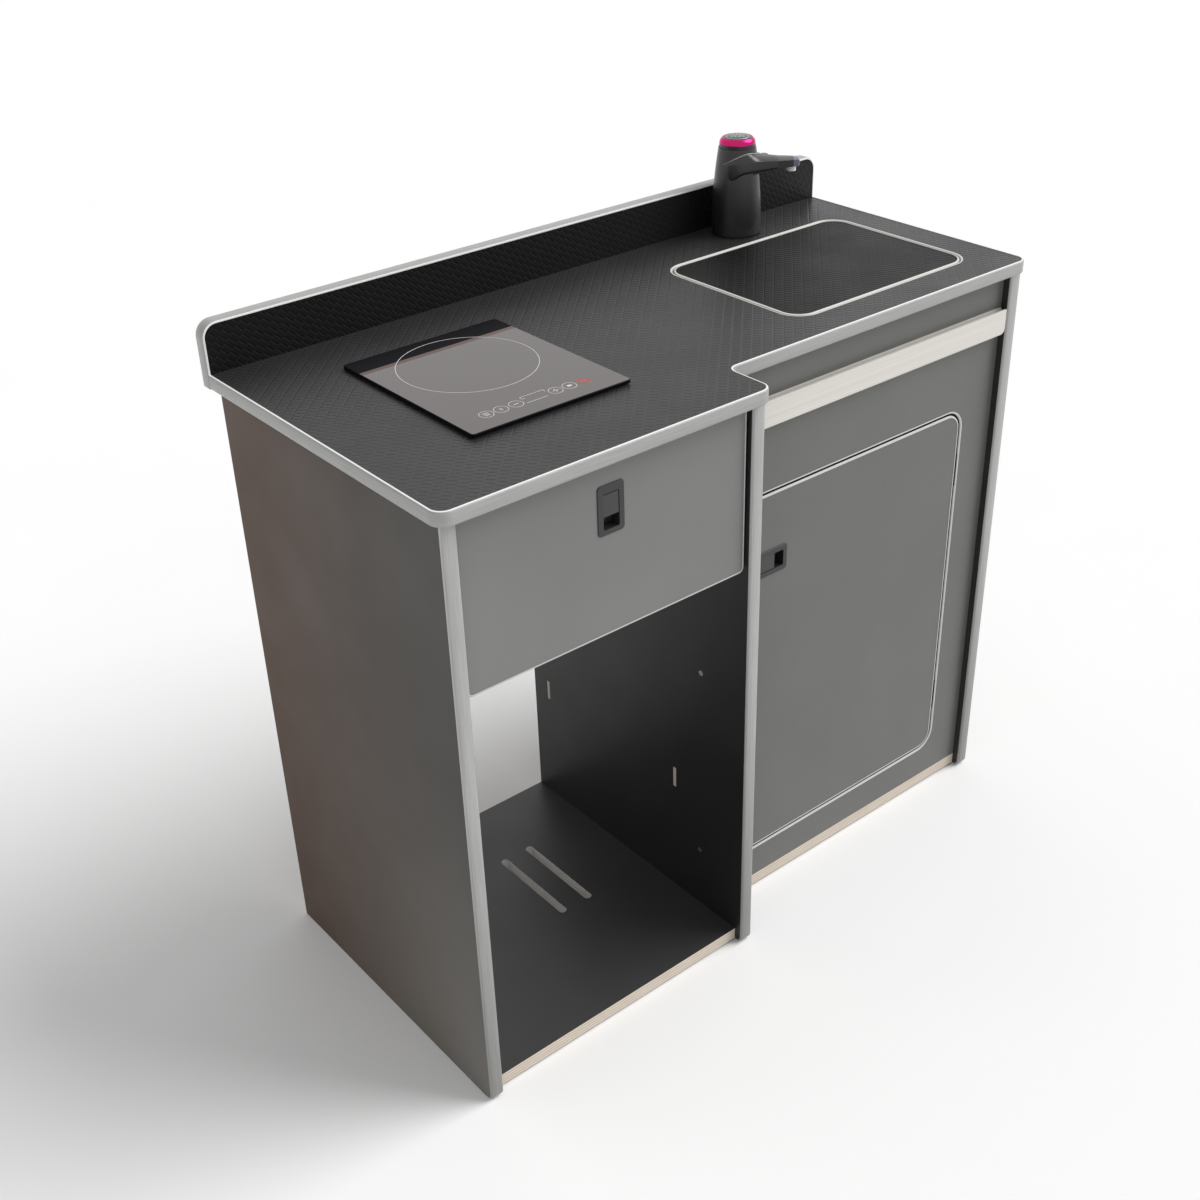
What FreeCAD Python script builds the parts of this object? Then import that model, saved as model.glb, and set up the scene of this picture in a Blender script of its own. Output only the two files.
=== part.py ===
import FreeCAD, Part
import math
import os
import re
import Sketcher
from FreeCAD import Placement, Rotation, Vector

# Campervan kitchen pod: an L-shaped cabinet with a hob over a drawer and an open bay on the left, and a
# lidded sink with a tap over a cupboard on the right. X runs along the pod, Y from front to back, Z up.
# The origin is on the floor under the middle of the pod. All lengths are in millimetres.

# Driving sizes
SIZES = {
    # Carcass
    "worktop_height": 850,
    "carcass_length": 1006,
    "panel_depth": 465,
    "board": 18,
    "bay_width": 418,
    "base_lift": 2,
    "bay_base_setback": 13.5,
    "foot_radius": 10,
    "foot_run": 4,
    "right_panel_setback": 66,
    "face_setback": 79,
    # Edging pushed into the board edges
    "edging_cap": 3,
    "edging_lip": 0.5,
    "edging_round": 2.4,
    # Worktop and upstand
    "left_overhang": 10,
    "right_overhang": 12,
    "front_overhang": 13,
    "rear_overhang": 23.5,
    "front_step": 76,
    "notch_overhang": 2,
    "worktop_corner": 18,
    "notch_corner": 12,
    "upstand_height": 64,
    "upstand_corner": 20,
    # Slots in the floor of the bay
    "slot_length": 151,
    "slot_width": 12,
    "slot_inset": 251,
    "slot_pitch": 46,
    "slot_front": 185.5,
    # Top rails
    "top_rail_depth": 60,
    "top_rail_front": 30,
    "rear_rail_height": 80,
    "rear_rail_thickness": 12,
    # Bottle rails with tongues
    "bottle_rail_thickness": 5.5,
    "bottle_rail_height": 70,
    "bottle_rail_low": 181,
    "bottle_front_inset": 138,
    "bottle_rear_inset": 37,
    "tongue_height": 32,
    "joint_clearance": 0.2,
    # Face panel, door opening and door
    "left_stile": 36,
    "right_stile": 62,
    "opening_low": 70,
    "opening_high": 654,
    "opening_corner": 32,
    "door_gap": 3,
    # Table rail
    "rail_low": 750,
    "rail_height": 35,
    "rail_reach": 12,
    "rail_wall": 3,
    "rail_lip": 8,
    "rail_left_gap": 1,
    "rail_right_gap": 3,
    "rail_corner": 8,
    # Drawer
    "drawer_gap": 2.5,
    "drawer_setback": 9,
    "drawer_low": 606,
    "drawer_top_gap": 3,
    "drawer_corner": 8,
    "drawer_side": 12,
    "drawer_side_height": 134,
    "drawer_floor": 6,
    "drawer_floor_rise": 16,
    "drawer_rear_gap": 38,
    # Runners
    "runner_thickness": 12.7,
    "runner_play": 0.3,
    "runner_sheet": 1.2,
    "runner_height": 45,
    "runner_rise": 62,
    # Flush latches
    "latch_width": 38,
    "latch_height": 62,
    "latch_corner": 5,
    "bezel_proud": 1.5,
    "latch_body_width": 30,
    "latch_body_height": 54,
    "latch_case_width": 22,
    "latch_case_low": 22,
    "latch_case_high": 30,
    "latch_case_depth": 31.5,
    "recess_width": 23,
    "recess_low": 24,
    "recess_high": 20.4,
    "recess_depth": 12,
    "recess_corner": 2,
    "paddle_thickness": 2.4,
    "paddle_low": 8,
    "paddle_high": 19,
    "paddle_sink": 0.8,
    "paddle_gap": 0.5,
    "paddle_pivot_rise": 17.6,
    "paddle_pivot_depth": 1.4,
    "paddle_knuckle": 2,
    "paddle_pin": 1,
    "paddle_pin_reach": 1.6,
    "pin_clearance": 0.05,
    "tail_reach": 17,
    "tail_width": 5,
    "tail_thickness": 3,
    "tail_tip": 2,
    "bolt_width": 14,
    "bolt_low": 9,
    "bolt_high": 24,
    "bolt_front": 14,
    "bolt_rear": 28.4,
    "bolt_clearance": 0.3,
    "bolt_stroke": 8,
    "nose_front": 21.4,
    "nose_reach": 35.5,
    "nose_bevel": 6,
    "latch_setback": 62,
    "door_latch_inset": 53,
    "door_latch_height": 546,
    # Keepers behind which the bolts catch
    "keeper_sheet": 1.5,
    "keeper_front": 19.6,
    "keeper_clearance": 1,
    "keeper_width": 24,
    "keeper_foot": 18,
    # Door hinges
    "hinge_pin": 0.7,
    "hinge_knuckle": 1.3,
    "hinge_depth": 0.9,
    "hinge_sheet": 0.9,
    "hinge_finger": 20,
    "hinge_play": 0.3,
    "hinge_leaf_depth": 15,
    "hinge_leaf_height": 50,
    "hinge_end_inset": 92,
    # Sink and lid
    "sink_inset": 170,
    "sink_right_inset": 23,
    "sink_front": 116,
    "sink_rear": 86,
    "sink_corner": 35,
    "lid_gap": 1.5,
    "sink_ledge": 10,
    "sink_flange": 15,
    "sink_sheet": 1.5,
    "bowl_depth": 130,
    "bowl_corner": 25,
    "waste_radius": 36,
    "waste_body_radius": 29,
    "waste_body_height": 42,
    "waste_nut_radius": 40,
    "waste_nut_height": 12,
    "waste_tail_radius": 20,
    "waste_tail_length": 40,
    "waste_wall": 2,
    # Hob
    "hob_inset": 100,
    "hob_front": 107,
    "hob_length": 225,
    "hob_width": 268,
    "hob_glass": 4,
    "hob_corner": 4,
    "gasket_height": 2,
    "gasket_width": 8,
    "gasket_inset": 2,
    "casing_inset": 10,
    "cutout_clearance": 2,
    "casing_depth": 53,
    "casing_sheet": 1.2,
    "vent_length": 40,
    "vent_width": 4,
    "vent_pitch": 10,
    "vent_rows": 6,
    "coil_radius": 84,
    "coil_bore": 20,
    "coil_height": 6,
    "coil_rear": 100,
    "coil_drop": 3,
    "coil_leg": 5,
    "fan_size": 60,
    "fan_height": 15,
    "fan_inset": 22,
    "fan_bore_gap": 1.5,
    "fan_strut": 3,
    "fan_hub": 12,
    "fan_spindle": 1.5,
    "fan_blade": 1.5,
    "fan_tip_gap": 1,
    "board_length": 84,
    "board_width": 62,
    "board_thickness": 1.6,
    "board_post": 6,
    # Tap
    "tap_inset": 172,
    "tap_back": 35,
    "tap_hole": 16,
    "tap_shank": 15,
    "tap_foot": 32,
    "tap_foot_height": 2,
    "tap_nut_radius": 21,
    "tap_nut_height": 8,
    "tap_shank_length": 45,
    "tap_tail_radius": 5,
    "tap_tail_length": 22,
    "tap_spigot": 12,
    "tap_spigot_height": 18,
    "tap_base_radius": 35.6,
    "tap_neck_radius": 26.6,
    "tap_bulge": 2.5,
    "tap_body_height": 121,
    "tap_play": 0.3,
    "tap_ring_radius": 25.6,
    "tap_ring_height": 13,
    "tap_ring_dome": 2.5,
    "tap_ring_bore": 20,
    "tap_button_radius": 19.6,
    "tap_button_height": 4,
    "tap_button_travel": 1,
    "tap_button_dish": 1,
    "spout_reach": 88,
    "spout_bend": 38,
    "spout_top": 102.5,
    "spout_root_width": 54,
    "spout_root_height": 25,
    "spout_root_crown": 9,
    "spout_bend_width": 38.5,
    "spout_bend_height": 14.2,
    "spout_bend_crown": 3,
    "spout_tip_width": 20,
    "spout_tip_height": 9.3,
    "spout_tip_crown": 1,
    "spout_tip_round": 2.5,
    "spout_cap_radius": 6.5,
    "spout_cap_rise": 3.6,
    "spout_cap_back": 11,
    "spout_turn": -41,
    "nozzle_radius": 6.5,
    "nozzle_height": 11,
    "nozzle_seat": 3,
    "nozzle_inset": 11,
    # Screws, dowels and brackets
    "screw_radius": 2,
    "screw_head": 4,
    "screw_length": 42,
    "screw_play": 0.1,
    "screw_low": 117,
    "screw_drop": 115,
    "dowel_radius": 4,
    "dowel_length": 30,
    "dowel_play": 0.1,
    "dowel_inset": 85,
    "dowel_offset": 40,
    "bracket_leg": 28,
    "bracket_width": 20,
    "bracket_sheet": 2,
    "bracket_front": 210,
    "bracket_rear": 60,
}

# Places and sizes that follow from the driving sizes
PLACES = {
    "total_length": "left_overhang + carcass_length + right_overhang",
    "total_depth": "front_overhang + panel_depth + rear_overhang",
    "total_left": "-total_length / 2",
    "total_front": "-total_depth / 2",
    "carcass_left": "total_left + left_overhang",
    "carcass_front": "total_front + front_overhang",
    "carcass_right": "carcass_left + carcass_length",
    "carcass_rear": "carcass_front + panel_depth",
    "bay_left": "carcass_left + board",
    "bay_right": "bay_left + bay_width",
    "bay_middle": "bay_left + bay_width / 2",
    "cupboard_left": "bay_right + board",
    "cupboard_right": "carcass_right - board",
    "cupboard_width": "cupboard_right - cupboard_left",
    "worktop_under": "worktop_height - board",
    "edging_width": "board + 2 * edging_lip",
    "base_top": "base_lift + board",
    "face_front": "carcass_front + face_setback",
    "face_rear": "face_front + board",
    "upstand_front": "total_front + total_depth - edging_lip - board",
    # Drawer
    "drawer_left": "bay_left + drawer_gap",
    "drawer_width": "bay_width - 2 * drawer_gap",
    "drawer_high": "worktop_under - drawer_top_gap",
    "drawer_height": "drawer_high - drawer_low",
    "drawer_front_face": "carcass_front + drawer_setback",
    "box_front": "drawer_front_face + board",
    "drawer_length": "panel_depth - drawer_setback - board - drawer_rear_gap",
    "box_left": "bay_left + runner_thickness + runner_play",
    "box_width": "bay_width - 2 * (runner_thickness + runner_play)",
    "box_low": "drawer_low + drawer_floor_rise",
    "box_side_low": "box_low + drawer_floor",
    "box_inner_width": "box_width - 2 * drawer_side",
    "runner_front": "box_front + 2 * runner_play",
    "runner_middle": "box_side_low + runner_rise",
    "runner_level": "runner_middle - runner_height / 2",
    # Door
    "opening_left": "cupboard_left + left_stile",
    "opening_right": "cupboard_right - right_stile",
    "opening_width": "opening_right - opening_left",
    "opening_height": "opening_high - opening_low",
    "door_inset": "edging_cap + door_gap",
    "door_left": "opening_left + door_inset",
    "door_right": "opening_right - door_inset",
    "door_width": "door_right - door_left",
    "door_low": "opening_low + door_inset",
    "door_height": "opening_height - 2 * door_inset",
    "hinge_x": "door_right + door_gap / 2",
    "hinge_y": "face_front + hinge_depth",
    "hinge_low": "door_low + hinge_end_inset",
    "hinge_high": "door_low + door_height - hinge_end_inset",
    # Latches
    "drawer_latch_level": "drawer_high - latch_setback",
    "door_latch_x": "door_left + door_latch_inset",
    # Sink
    "sink_left": "cupboard_left + sink_inset",
    "sink_y": "carcass_front + sink_front",
    "sink_length": "cupboard_width - sink_inset - sink_right_inset",
    "sink_width": "panel_depth - sink_front - sink_rear",
    "lid_inset": "edging_cap + lid_gap",
    "mouth_inset": "lid_inset + sink_ledge",
    "mouth_length": "sink_length - 2 * mouth_inset",
    "mouth_width": "sink_width - 2 * mouth_inset",
    "rim_margin": "mouth_inset + sink_flange",
    "sink_middle_x": "sink_left + sink_length / 2",
    "sink_middle_y": "sink_y + sink_width / 2",
    "bowl_floor": "worktop_under - bowl_depth",
    # Hob
    "hob_left": "bay_left + hob_inset",
    "hob_y": "carcass_front + hob_front",
    "casing_left": "hob_left + casing_inset",
    "casing_y": "hob_y + casing_inset",
    "casing_length": "hob_length - 2 * casing_inset",
    "casing_width": "hob_width - 2 * casing_inset",
    "glass_level": "worktop_height + gasket_height",
    "casing_level": "glass_level - casing_depth",
    "casing_floor": "casing_level + casing_sheet",
    "coil_x": "hob_left + hob_length / 2",
    "coil_y": "hob_y + hob_width - coil_rear",
    "coil_level": "glass_level - coil_drop - coil_height",
    "fan_x": "casing_left + fan_inset + fan_size / 2",
    "fan_y": "casing_y + fan_inset / 2 + fan_size / 2",
    "fan_bore": "fan_size / 2 - fan_bore_gap",
    # Tap
    "tap_x": "cupboard_right - tap_inset",
    "tap_y": "carcass_rear - tap_back",
    "tap_foot_level": "worktop_height + tap_foot_height",
    "tap_body_level": "tap_foot_level + tap_play",
    "tap_ring_level": "tap_body_level + tap_body_height",
    "tap_button_level": "tap_ring_level + tap_button_travel + tap_play",
}

doc = FreeCAD.newDocument("kitchen_pod")
nodes = []


def formula(text):
    """A sum of named sizes, with each name pointing at its cell."""
    def to_cell(found):
        name = found.group(0)
        if name in SIZES:
            return "Sizes." + name
        if name in PLACES:
            return "Places." + name
        return name
    return re.sub(r"[a-z_]+", to_cell, text)


def fill_sheet(title, cells):
    """A sheet with one named cell for each entry."""
    sheet = doc.addObject("Spreadsheet::Sheet", title)
    for row, (name, content) in enumerate(cells.items(), start=1):
        sheet.set(f"A{row}", name)
        sheet.set(f"B{row}", content if isinstance(content, str) else str(content))
        sheet.setAlias(f"B{row}", name)
    return sheet


fill_sheet("Sizes", SIZES)
places = fill_sheet("Places", {name: "=" + formula(text) for name, text in PLACES.items()})
doc.recompute()


def value(text):
    """The length that a sum of named sizes comes to."""
    result = places.evalExpression(formula(text))
    return float(getattr(result, "Value", result))


def bind(item, prop, text):
    item.setExpression(prop, formula(text))


def place(item, x, y, z):
    bind(item, "Placement.Base.x", x)
    bind(item, "Placement.Base.y", y)
    bind(item, "Placement.Base.z", z)


def keep(item):
    """Marks an object as one of the sub-parts that are written out."""
    nodes.append(item)
    return item


# Bodies, sketches and features

def new_body(label, x, y, z, rotation=None):
    body = doc.addObject("PartDesign::Body", label)
    body.Label = label
    if rotation:
        body.Placement = Placement(Vector(), rotation)
    place(body, x, y, z)
    return body


def sketch_on(body, plane, at="0"):
    """A sketch on one of the body's origin planes, or at a distance from it along the positive axis."""
    sketch = body.newObject("Sketcher::SketchObject", body.Name + "_sketch")
    role = plane + "_Plane"
    support = next(item for item in body.Origin.OriginFeatures if item.Role == role)
    sketch.AttachmentSupport = [(support, "")]
    sketch.MapMode = "FlatFace"
    bind(sketch, "AttachmentOffset.Base.z", f"-({at})" if plane == "XZ" else at)
    return sketch


def faces_backwards(sketch):
    """True on the XZ plane, whose normal points along -Y."""
    return sketch.AttachmentSupport[0][0].Role == "XZ_Plane"


def constrain(sketch, kind, *arguments):
    return sketch.addConstraint(Sketcher.Constraint(kind, *arguments))


def bind_constraint(sketch, kind, *arguments, text):
    index = constrain(sketch, kind, *arguments, value(text))
    bind(sketch, f"Constraints[{index}]", text)


def draw_outline(sketch, corners):
    """A closed outline of level and upright lines, with an arc at each corner that names a radius."""
    points = [Vector(value(corner[0]), value(corner[1]), 0) for corner in corners]
    radii = [value(corner[2]) if len(corner) > 2 else 0 for corner in corners]
    count = len(corners)
    ways = [(points[(i + 1) % count] - points[i]).normalize() for i in range(count)]
    lines = []
    for i in range(count):
        start = points[i] + ways[i] * radii[i]
        end = points[(i + 1) % count] - ways[i] * radii[(i + 1) % count]
        line = sketch.addGeometry(Part.LineSegment(start, end))
        lines.append(line)
        if abs(ways[i].x) > abs(ways[i].y):
            constrain(sketch, "Horizontal", line)
            bind_constraint(sketch, "DistanceY", -1, 1, line, 1, text=corners[i][1])
        else:
            constrain(sketch, "Vertical", line)
            bind_constraint(sketch, "DistanceX", -1, 1, line, 1, text=corners[i][0])
    for i in range(count):
        before, after, radius = lines[i - 1], lines[i], radii[i]
        if radius == 0:
            constrain(sketch, "Coincident", before, 2, after, 1)
            continue
        leave = points[i] - ways[i - 1] * radius
        join = points[i] + ways[i] * radius
        centre = leave + ways[i] * radius
        turns_left = ways[i - 1].cross(ways[i]).z > 0
        first, last = (leave, join) if turns_left else (join, leave)
        circle = Part.Circle(centre, Vector(0, 0, 1), radius)
        angles = [math.atan2(end.y - centre.y, end.x - centre.x) for end in (first, last)]
        arc = sketch.addGeometry(Part.ArcOfCircle(circle, *angles))
        constrain(sketch, "Tangent", before, 2, arc, 1 if turns_left else 2)
        constrain(sketch, "Tangent", after, 1, arc, 2 if turns_left else 1)
        bind_constraint(sketch, "Radius", arc, text=corners[i][2])


def draw_box(sketch, x, y, width, height, radius=None):
    """A rectangle from its lower left corner, with rounded corners where a radius is given."""
    ends = [(x, y), (f"{x} + {width}", y), (f"{x} + {width}", f"{y} + {height}"), (x, f"{y} + {height}")]
    draw_outline(sketch, [end + (radius,) if radius else end for end in ends])


def draw_polygon(sketch, corners):
    """A closed outline through the corners, listed against the clock. A third entry at a corner bulges
    the line that follows it outwards, into an arc of that height."""
    points = [Vector(value(corner[0]), value(corner[1]), 0) for corner in corners]
    count = len(points)
    sides = []
    for i in range(count):
        start, end = points[i], points[(i + 1) % count]
        if len(corners[i]) == 2:
            side = Part.LineSegment(start, end)
        else:
            outwards = Vector(end.y - start.y, start.x - end.x, 0).normalize()
            side = Part.Arc(start, (start + end) / 2 + outwards * value(corners[i][2]), end)
        sides.append(sketch.addGeometry(side))
    for i in range(count):
        x, y = corners[i][:2]
        constrain(sketch, "Coincident", sides[i - 1], 2, sides[i], 1)
        bind_constraint(sketch, "DistanceX", -1, 1, sides[i], 1, text=x)
        bind_constraint(sketch, "DistanceY", -1, 1, sides[i], 1, text=y)
    for i in range(count):
        if len(corners[i]) == 3:
            x, y, bulge = corners[i]
            next_x, next_y = corners[(i + 1) % count][:2]
            chord = f"((({next_x}) - ({x}))^2 + (({next_y}) - ({y}))^2)"
            bind_constraint(sketch, "Radius", sides[i], text=f"{chord} / (8 * ({bulge})) + ({bulge}) / 2")


def draw_circle(sketch, x, y, radius):
    centre = Vector(value(x), value(y), 0)
    circle = sketch.addGeometry(Part.Circle(centre, Vector(0, 0, 1), value(radius)))
    bind_constraint(sketch, "DistanceX", -1, 1, circle, 3, text=x)
    bind_constraint(sketch, "DistanceY", -1, 1, circle, 3, text=y)
    bind_constraint(sketch, "Radius", circle, text=radius)


def draw_slot(sketch, x, low, high, radius):
    """An upright slot: two half circles about its end centres, joined by two lines."""
    middle, bottom, top, bend = value(x), value(low), value(high), value(radius)
    right = sketch.addGeometry(Part.LineSegment(
        Vector(middle + bend, bottom, 0), Vector(middle + bend, top, 0)))
    left = sketch.addGeometry(Part.LineSegment(
        Vector(middle - bend, top, 0), Vector(middle - bend, bottom, 0)))
    lower = sketch.addGeometry(Part.ArcOfCircle(
        Part.Circle(Vector(middle, bottom, 0), Vector(0, 0, 1), bend), math.pi, 2 * math.pi))
    upper = sketch.addGeometry(Part.ArcOfCircle(
        Part.Circle(Vector(middle, top, 0), Vector(0, 0, 1), bend), 0, math.pi))
    constrain(sketch, "Tangent", lower, 2, right, 1)
    constrain(sketch, "Tangent", right, 2, upper, 1)
    constrain(sketch, "Tangent", upper, 2, left, 1)
    constrain(sketch, "Tangent", left, 2, lower, 1)
    constrain(sketch, "Vertical", right)
    constrain(sketch, "Equal", lower, upper)
    bind_constraint(sketch, "DistanceX", -1, 1, lower, 3, text=x)
    bind_constraint(sketch, "DistanceY", -1, 1, lower, 3, text=low)
    bind_constraint(sketch, "DistanceY", -1, 1, upper, 3, text=high)
    bind_constraint(sketch, "Radius", lower, text=radius)


def pad(body, sketch, length):
    """Thickens a sketch along the positive axis."""
    feature = body.newObject("PartDesign::Pad", body.Name + "_pad")
    feature.Profile = sketch
    bind(feature, "Length", length)
    feature.Reversed = faces_backwards(sketch)
    doc.recompute()
    return feature


def pocket(body, sketch, depth, forward=False):
    """Cuts a sketch's outline out of the body, backwards along the axis or forwards."""
    before = body.Shape.Volume
    feature = body.newObject("PartDesign::Pocket", body.Name + "_pocket")
    feature.Profile = sketch
    bind(feature, "Length", depth)
    feature.Reversed = forward != faces_backwards(sketch)
    doc.recompute()
    if body.Shape.Volume >= before:
        raise RuntimeError(f"{feature.Name} cuts nothing from {body.Label}")
    return feature


def turned(body, sketch, kind="PartDesign::Revolution"):
    """A full turn of the sketch about its upright axis."""
    feature = body.newObject(kind, body.Name + "_turned")
    feature.Profile = sketch
    feature.ReferenceAxis = (sketch, ["V_Axis"])
    feature.Angle = 360
    doc.recompute()
    return feature


def pattern_about(body, feature, axis, count):
    """Repeats a feature about one of the body's own axes."""
    pattern = body.newObject("PartDesign::PolarPattern", body.Name + "_pattern")
    pattern.Originals = [feature]
    line = next(item for item in body.Origin.OriginFeatures if item.Role == axis)
    pattern.Axis = (line, [""])
    pattern.Angle = 360
    pattern.Occurrences = count
    body.Tip = pattern
    doc.recompute()
    return pattern


def dress(body, kind, size, wanted):
    """Rounds or bevels every edge of the body, in its own frame, that the test picks."""
    tip = body.Tip
    names = [f"Edge{i}" for i, edge in enumerate(tip.Shape.Edges, start=1) if wanted(edge)]
    if not names:
        raise RuntimeError(f"no edge to dress on {body.Label}")
    feature = body.newObject("PartDesign::" + kind, body.Name + "_" + kind.lower())
    feature.Base = (tip, names)
    bind(feature, "Radius" if kind == "Fillet" else "Size", size)
    doc.recompute()
    return feature


def spans(edge, axis):
    """The lowest and highest place of an edge along an axis."""
    box = edge.BoundBox
    return getattr(box, axis + "Min"), getattr(box, axis + "Max")


def lies_at(edge, axis, position):
    """True when the whole edge lies at one place along an axis."""
    low, high = spans(edge, axis)
    return abs(low - position) < TOUCH and abs(high - position) < TOUCH


TOUCH = value("joint_clearance") / 10


def outer_edges(carrier, axis, ends, reach):
    """Picks the edges of an edging's crown: at either end of its width, and off the board that it covers."""
    board_shape = carrier.Tip.Shape

    def wanted(edge):
        if not any(lies_at(edge, axis, end) for end in ends):
            return False
        middle = edge.valueAt((edge.FirstParameter + edge.LastParameter) / 2)
        return board_shape.distToShape(Part.Vertex(middle))[0] > reach
    return wanted


def bore(body, plane, at, x, y, radius, depth, forward=False):
    sketch = sketch_on(body, plane, at)
    draw_circle(sketch, x, y, radius)
    return pocket(body, sketch, depth, forward)


def simple_board(label, x, y, z, length, width, height):
    """A plain rectangular board."""
    item = doc.addObject("Part::Box", label)
    item.Label = label
    bind(item, "Length", length)
    bind(item, "Width", width)
    bind(item, "Height", height)
    place(item, x, y, z)
    return item


def group(label, pieces):
    """One node that holds several separate solids."""
    item = doc.addObject("Part::Compound", label)
    item.Label = label
    item.Links = pieces
    return keep(item)


# Side panels, divider and their edging

DOWEL_HOLE = "dowel_radius + dowel_play"
DOWEL_BITE = "board / 2"
BASE_MIDDLE = "base_lift + board / 2"


def side_panel(label, x, setback):
    """An upright panel whose front foot is rounded and rebated for the edging."""
    depth = f"panel_depth - {setback}"
    body = new_body(label, x, f"carcass_front + {setback}", "0")
    sketch = sketch_on(body, "YZ")
    draw_outline(sketch, [
        ("foot_radius + foot_run", "0"),
        (depth, "0"),
        (depth, "worktop_under"),
        ("edging_cap", "worktop_under"),
        ("edging_cap", "edging_cap", "foot_radius - edging_cap"),
        ("foot_radius + foot_run", "edging_cap"),
    ])
    pad(body, sketch, "board")
    return body


def panel_edging(label, panel, x, setback):
    """The edging down the front edge of a panel, round its foot, with its crown rounded."""
    body = new_body(label, f"{x} - edging_lip", f"carcass_front + {setback}", "0")
    sketch = sketch_on(body, "YZ")
    draw_outline(sketch, [
        ("foot_radius + foot_run", "0"),
        ("foot_radius + foot_run", "edging_cap"),
        ("edging_cap", "edging_cap", "foot_radius - edging_cap"),
        ("edging_cap", "worktop_under"),
        ("0", "worktop_under"),
        ("0", "0", "foot_radius"),
    ])
    pad(body, sketch, "edging_width")
    ends = [0, value("edging_width")]
    crown = outer_edges(panel, "X", ends, value("edging_cap") / 2 + value("edging_lip"))
    dress(body, "Fillet", "edging_round", crown)
    return keep(body)


def base_dowel_bores(panel, setback, side, offsets):
    """Blind bores for the dowels of a base panel, in the left or right face of an upright panel."""
    for offset in offsets:
        at = "0" if side == "left" else "board"
        bore(panel, "YZ", at, f"{offset} - {setback}", BASE_MIDDLE, DOWEL_HOLE, DOWEL_BITE,
             forward=side == "left")


BAY_DOWELS = ["dowel_inset", "panel_depth - dowel_inset"]
CUPBOARD_DOWELS = [
    "face_setback + dowel_offset + dowel_inset / 2",
    "panel_depth - dowel_inset - dowel_offset",
]
FACE_MIDDLE = "face_setback + board / 2"
SCREW_HIGH = "(worktop_under - screw_drop)"
SCREW_LEVELS = ["screw_low", f"(screw_low + {SCREW_HIGH}) / 2", SCREW_HIGH]
BOTTLE_RAILS = ["bottle_front_inset", "(panel_depth - bottle_rear_inset)"]
TONGUE_LOW = "bottle_rail_low + (bottle_rail_height - tongue_height) / 2"


def tongue_mortises(panel, setback, depth, forward):
    for inset in BOTTLE_RAILS:
        sketch = sketch_on(panel, "YZ")
        draw_box(sketch, f"{inset} - {setback} - joint_clearance", f"{TONGUE_LOW} - joint_clearance",
                 "bottle_rail_thickness + 2 * joint_clearance", "tongue_height + 2 * joint_clearance")
        pocket(panel, sketch, depth, forward)


left_panel = side_panel("left_side_panel", "carcass_left", "0")
base_dowel_bores(left_panel, "0", "right", BAY_DOWELS)
keep(left_panel)
panel_edging("left_side_edging", left_panel, "carcass_left", "0")

divider = side_panel("divider_panel", "bay_right", "0")
base_dowel_bores(divider, "0", "left", BAY_DOWELS)
base_dowel_bores(divider, "0", "right", CUPBOARD_DOWELS)
tongue_mortises(divider, "0", "board", True)
for level in SCREW_LEVELS:
    bore(divider, "YZ", "0", FACE_MIDDLE, level, "screw_radius + screw_play", "board", forward=True)
SCREW_HOLE = value("screw_radius + screw_play")
dress(divider, "Chamfer", "screw_head - screw_radius",
      lambda edge: lies_at(edge, "X", 0) and hasattr(edge.Curve, "Radius")
      and abs(edge.Curve.Radius - SCREW_HOLE) < TOUCH)
keep(divider)
panel_edging("divider_edging", divider, "bay_right", "0")

right_panel = side_panel("right_side_panel", "cupboard_right", "right_panel_setback")
base_dowel_bores(right_panel, "right_panel_setback", "left", CUPBOARD_DOWELS)
tongue_mortises(right_panel, "right_panel_setback", "board / 2 + joint_clearance", True)
for level in SCREW_LEVELS:
    bore(right_panel, "YZ", "0", f"{FACE_MIDDLE} - right_panel_setback", level, DOWEL_HOLE, DOWEL_BITE,
         forward=True)
keep(right_panel)
panel_edging("right_side_edging", right_panel, "cupboard_right", "right_panel_setback")


# Base panels

def base_panel(label, x, setback, width, offsets):
    """A floor panel between two upright panels, bored in both ends for its dowels."""
    body = new_body(label, x, f"carcass_front + {setback}", "base_lift")
    sketch = sketch_on(body, "XY")
    draw_box(sketch, "0", "0", width, f"panel_depth - {setback}")
    pad(body, sketch, "board")
    for offset in offsets:
        depth = "dowel_length - board / 2 + dowel_play"
        place_y = f"{offset} - {setback}"
        bore(body, "YZ", "0", place_y, "board / 2", DOWEL_HOLE, depth, forward=True)
        bore(body, "YZ", width, place_y, "board / 2", DOWEL_HOLE, depth)
    return body


bay_base = base_panel("bay_base_panel", "bay_left", "bay_base_setback", "bay_width", BAY_DOWELS)
for step in ("0", "slot_pitch"):
    slot_sketch = sketch_on(bay_base, "XY", "board")
    draw_slot(slot_sketch, f"slot_inset + slot_width / 2 + {step}",
              "slot_front + slot_width / 2", "slot_front + slot_length - slot_width / 2", "slot_width / 2")
    pocket(bay_base, slot_sketch, "board")
keep(bay_base)
keep(base_panel("cupboard_base_panel", "cupboard_left", "face_setback", "cupboard_width", CUPBOARD_DOWELS))

# Face panel of the cupboard with its door opening

face = new_body("face_panel", "cupboard_left", "face_front", "base_top")
face_sketch = sketch_on(face, "XZ")
draw_box(face_sketch, "0", "0", "cupboard_width", "worktop_under - base_top")
draw_box(face_sketch, "left_stile", "opening_low - base_top", "opening_width", "opening_height",
         "opening_corner")
pad(face, face_sketch, "board")
for level in SCREW_LEVELS:
    bore(face, "YZ", "0", "board / 2", f"{level} - base_top", "screw_radius + screw_play",
         "screw_length - board + screw_play", forward=True)
    bore(face, "YZ", "cupboard_width", "board / 2", f"{level} - base_top", DOWEL_HOLE,
         "dowel_length - board / 2 + dowel_play")
keep(face)


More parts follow.
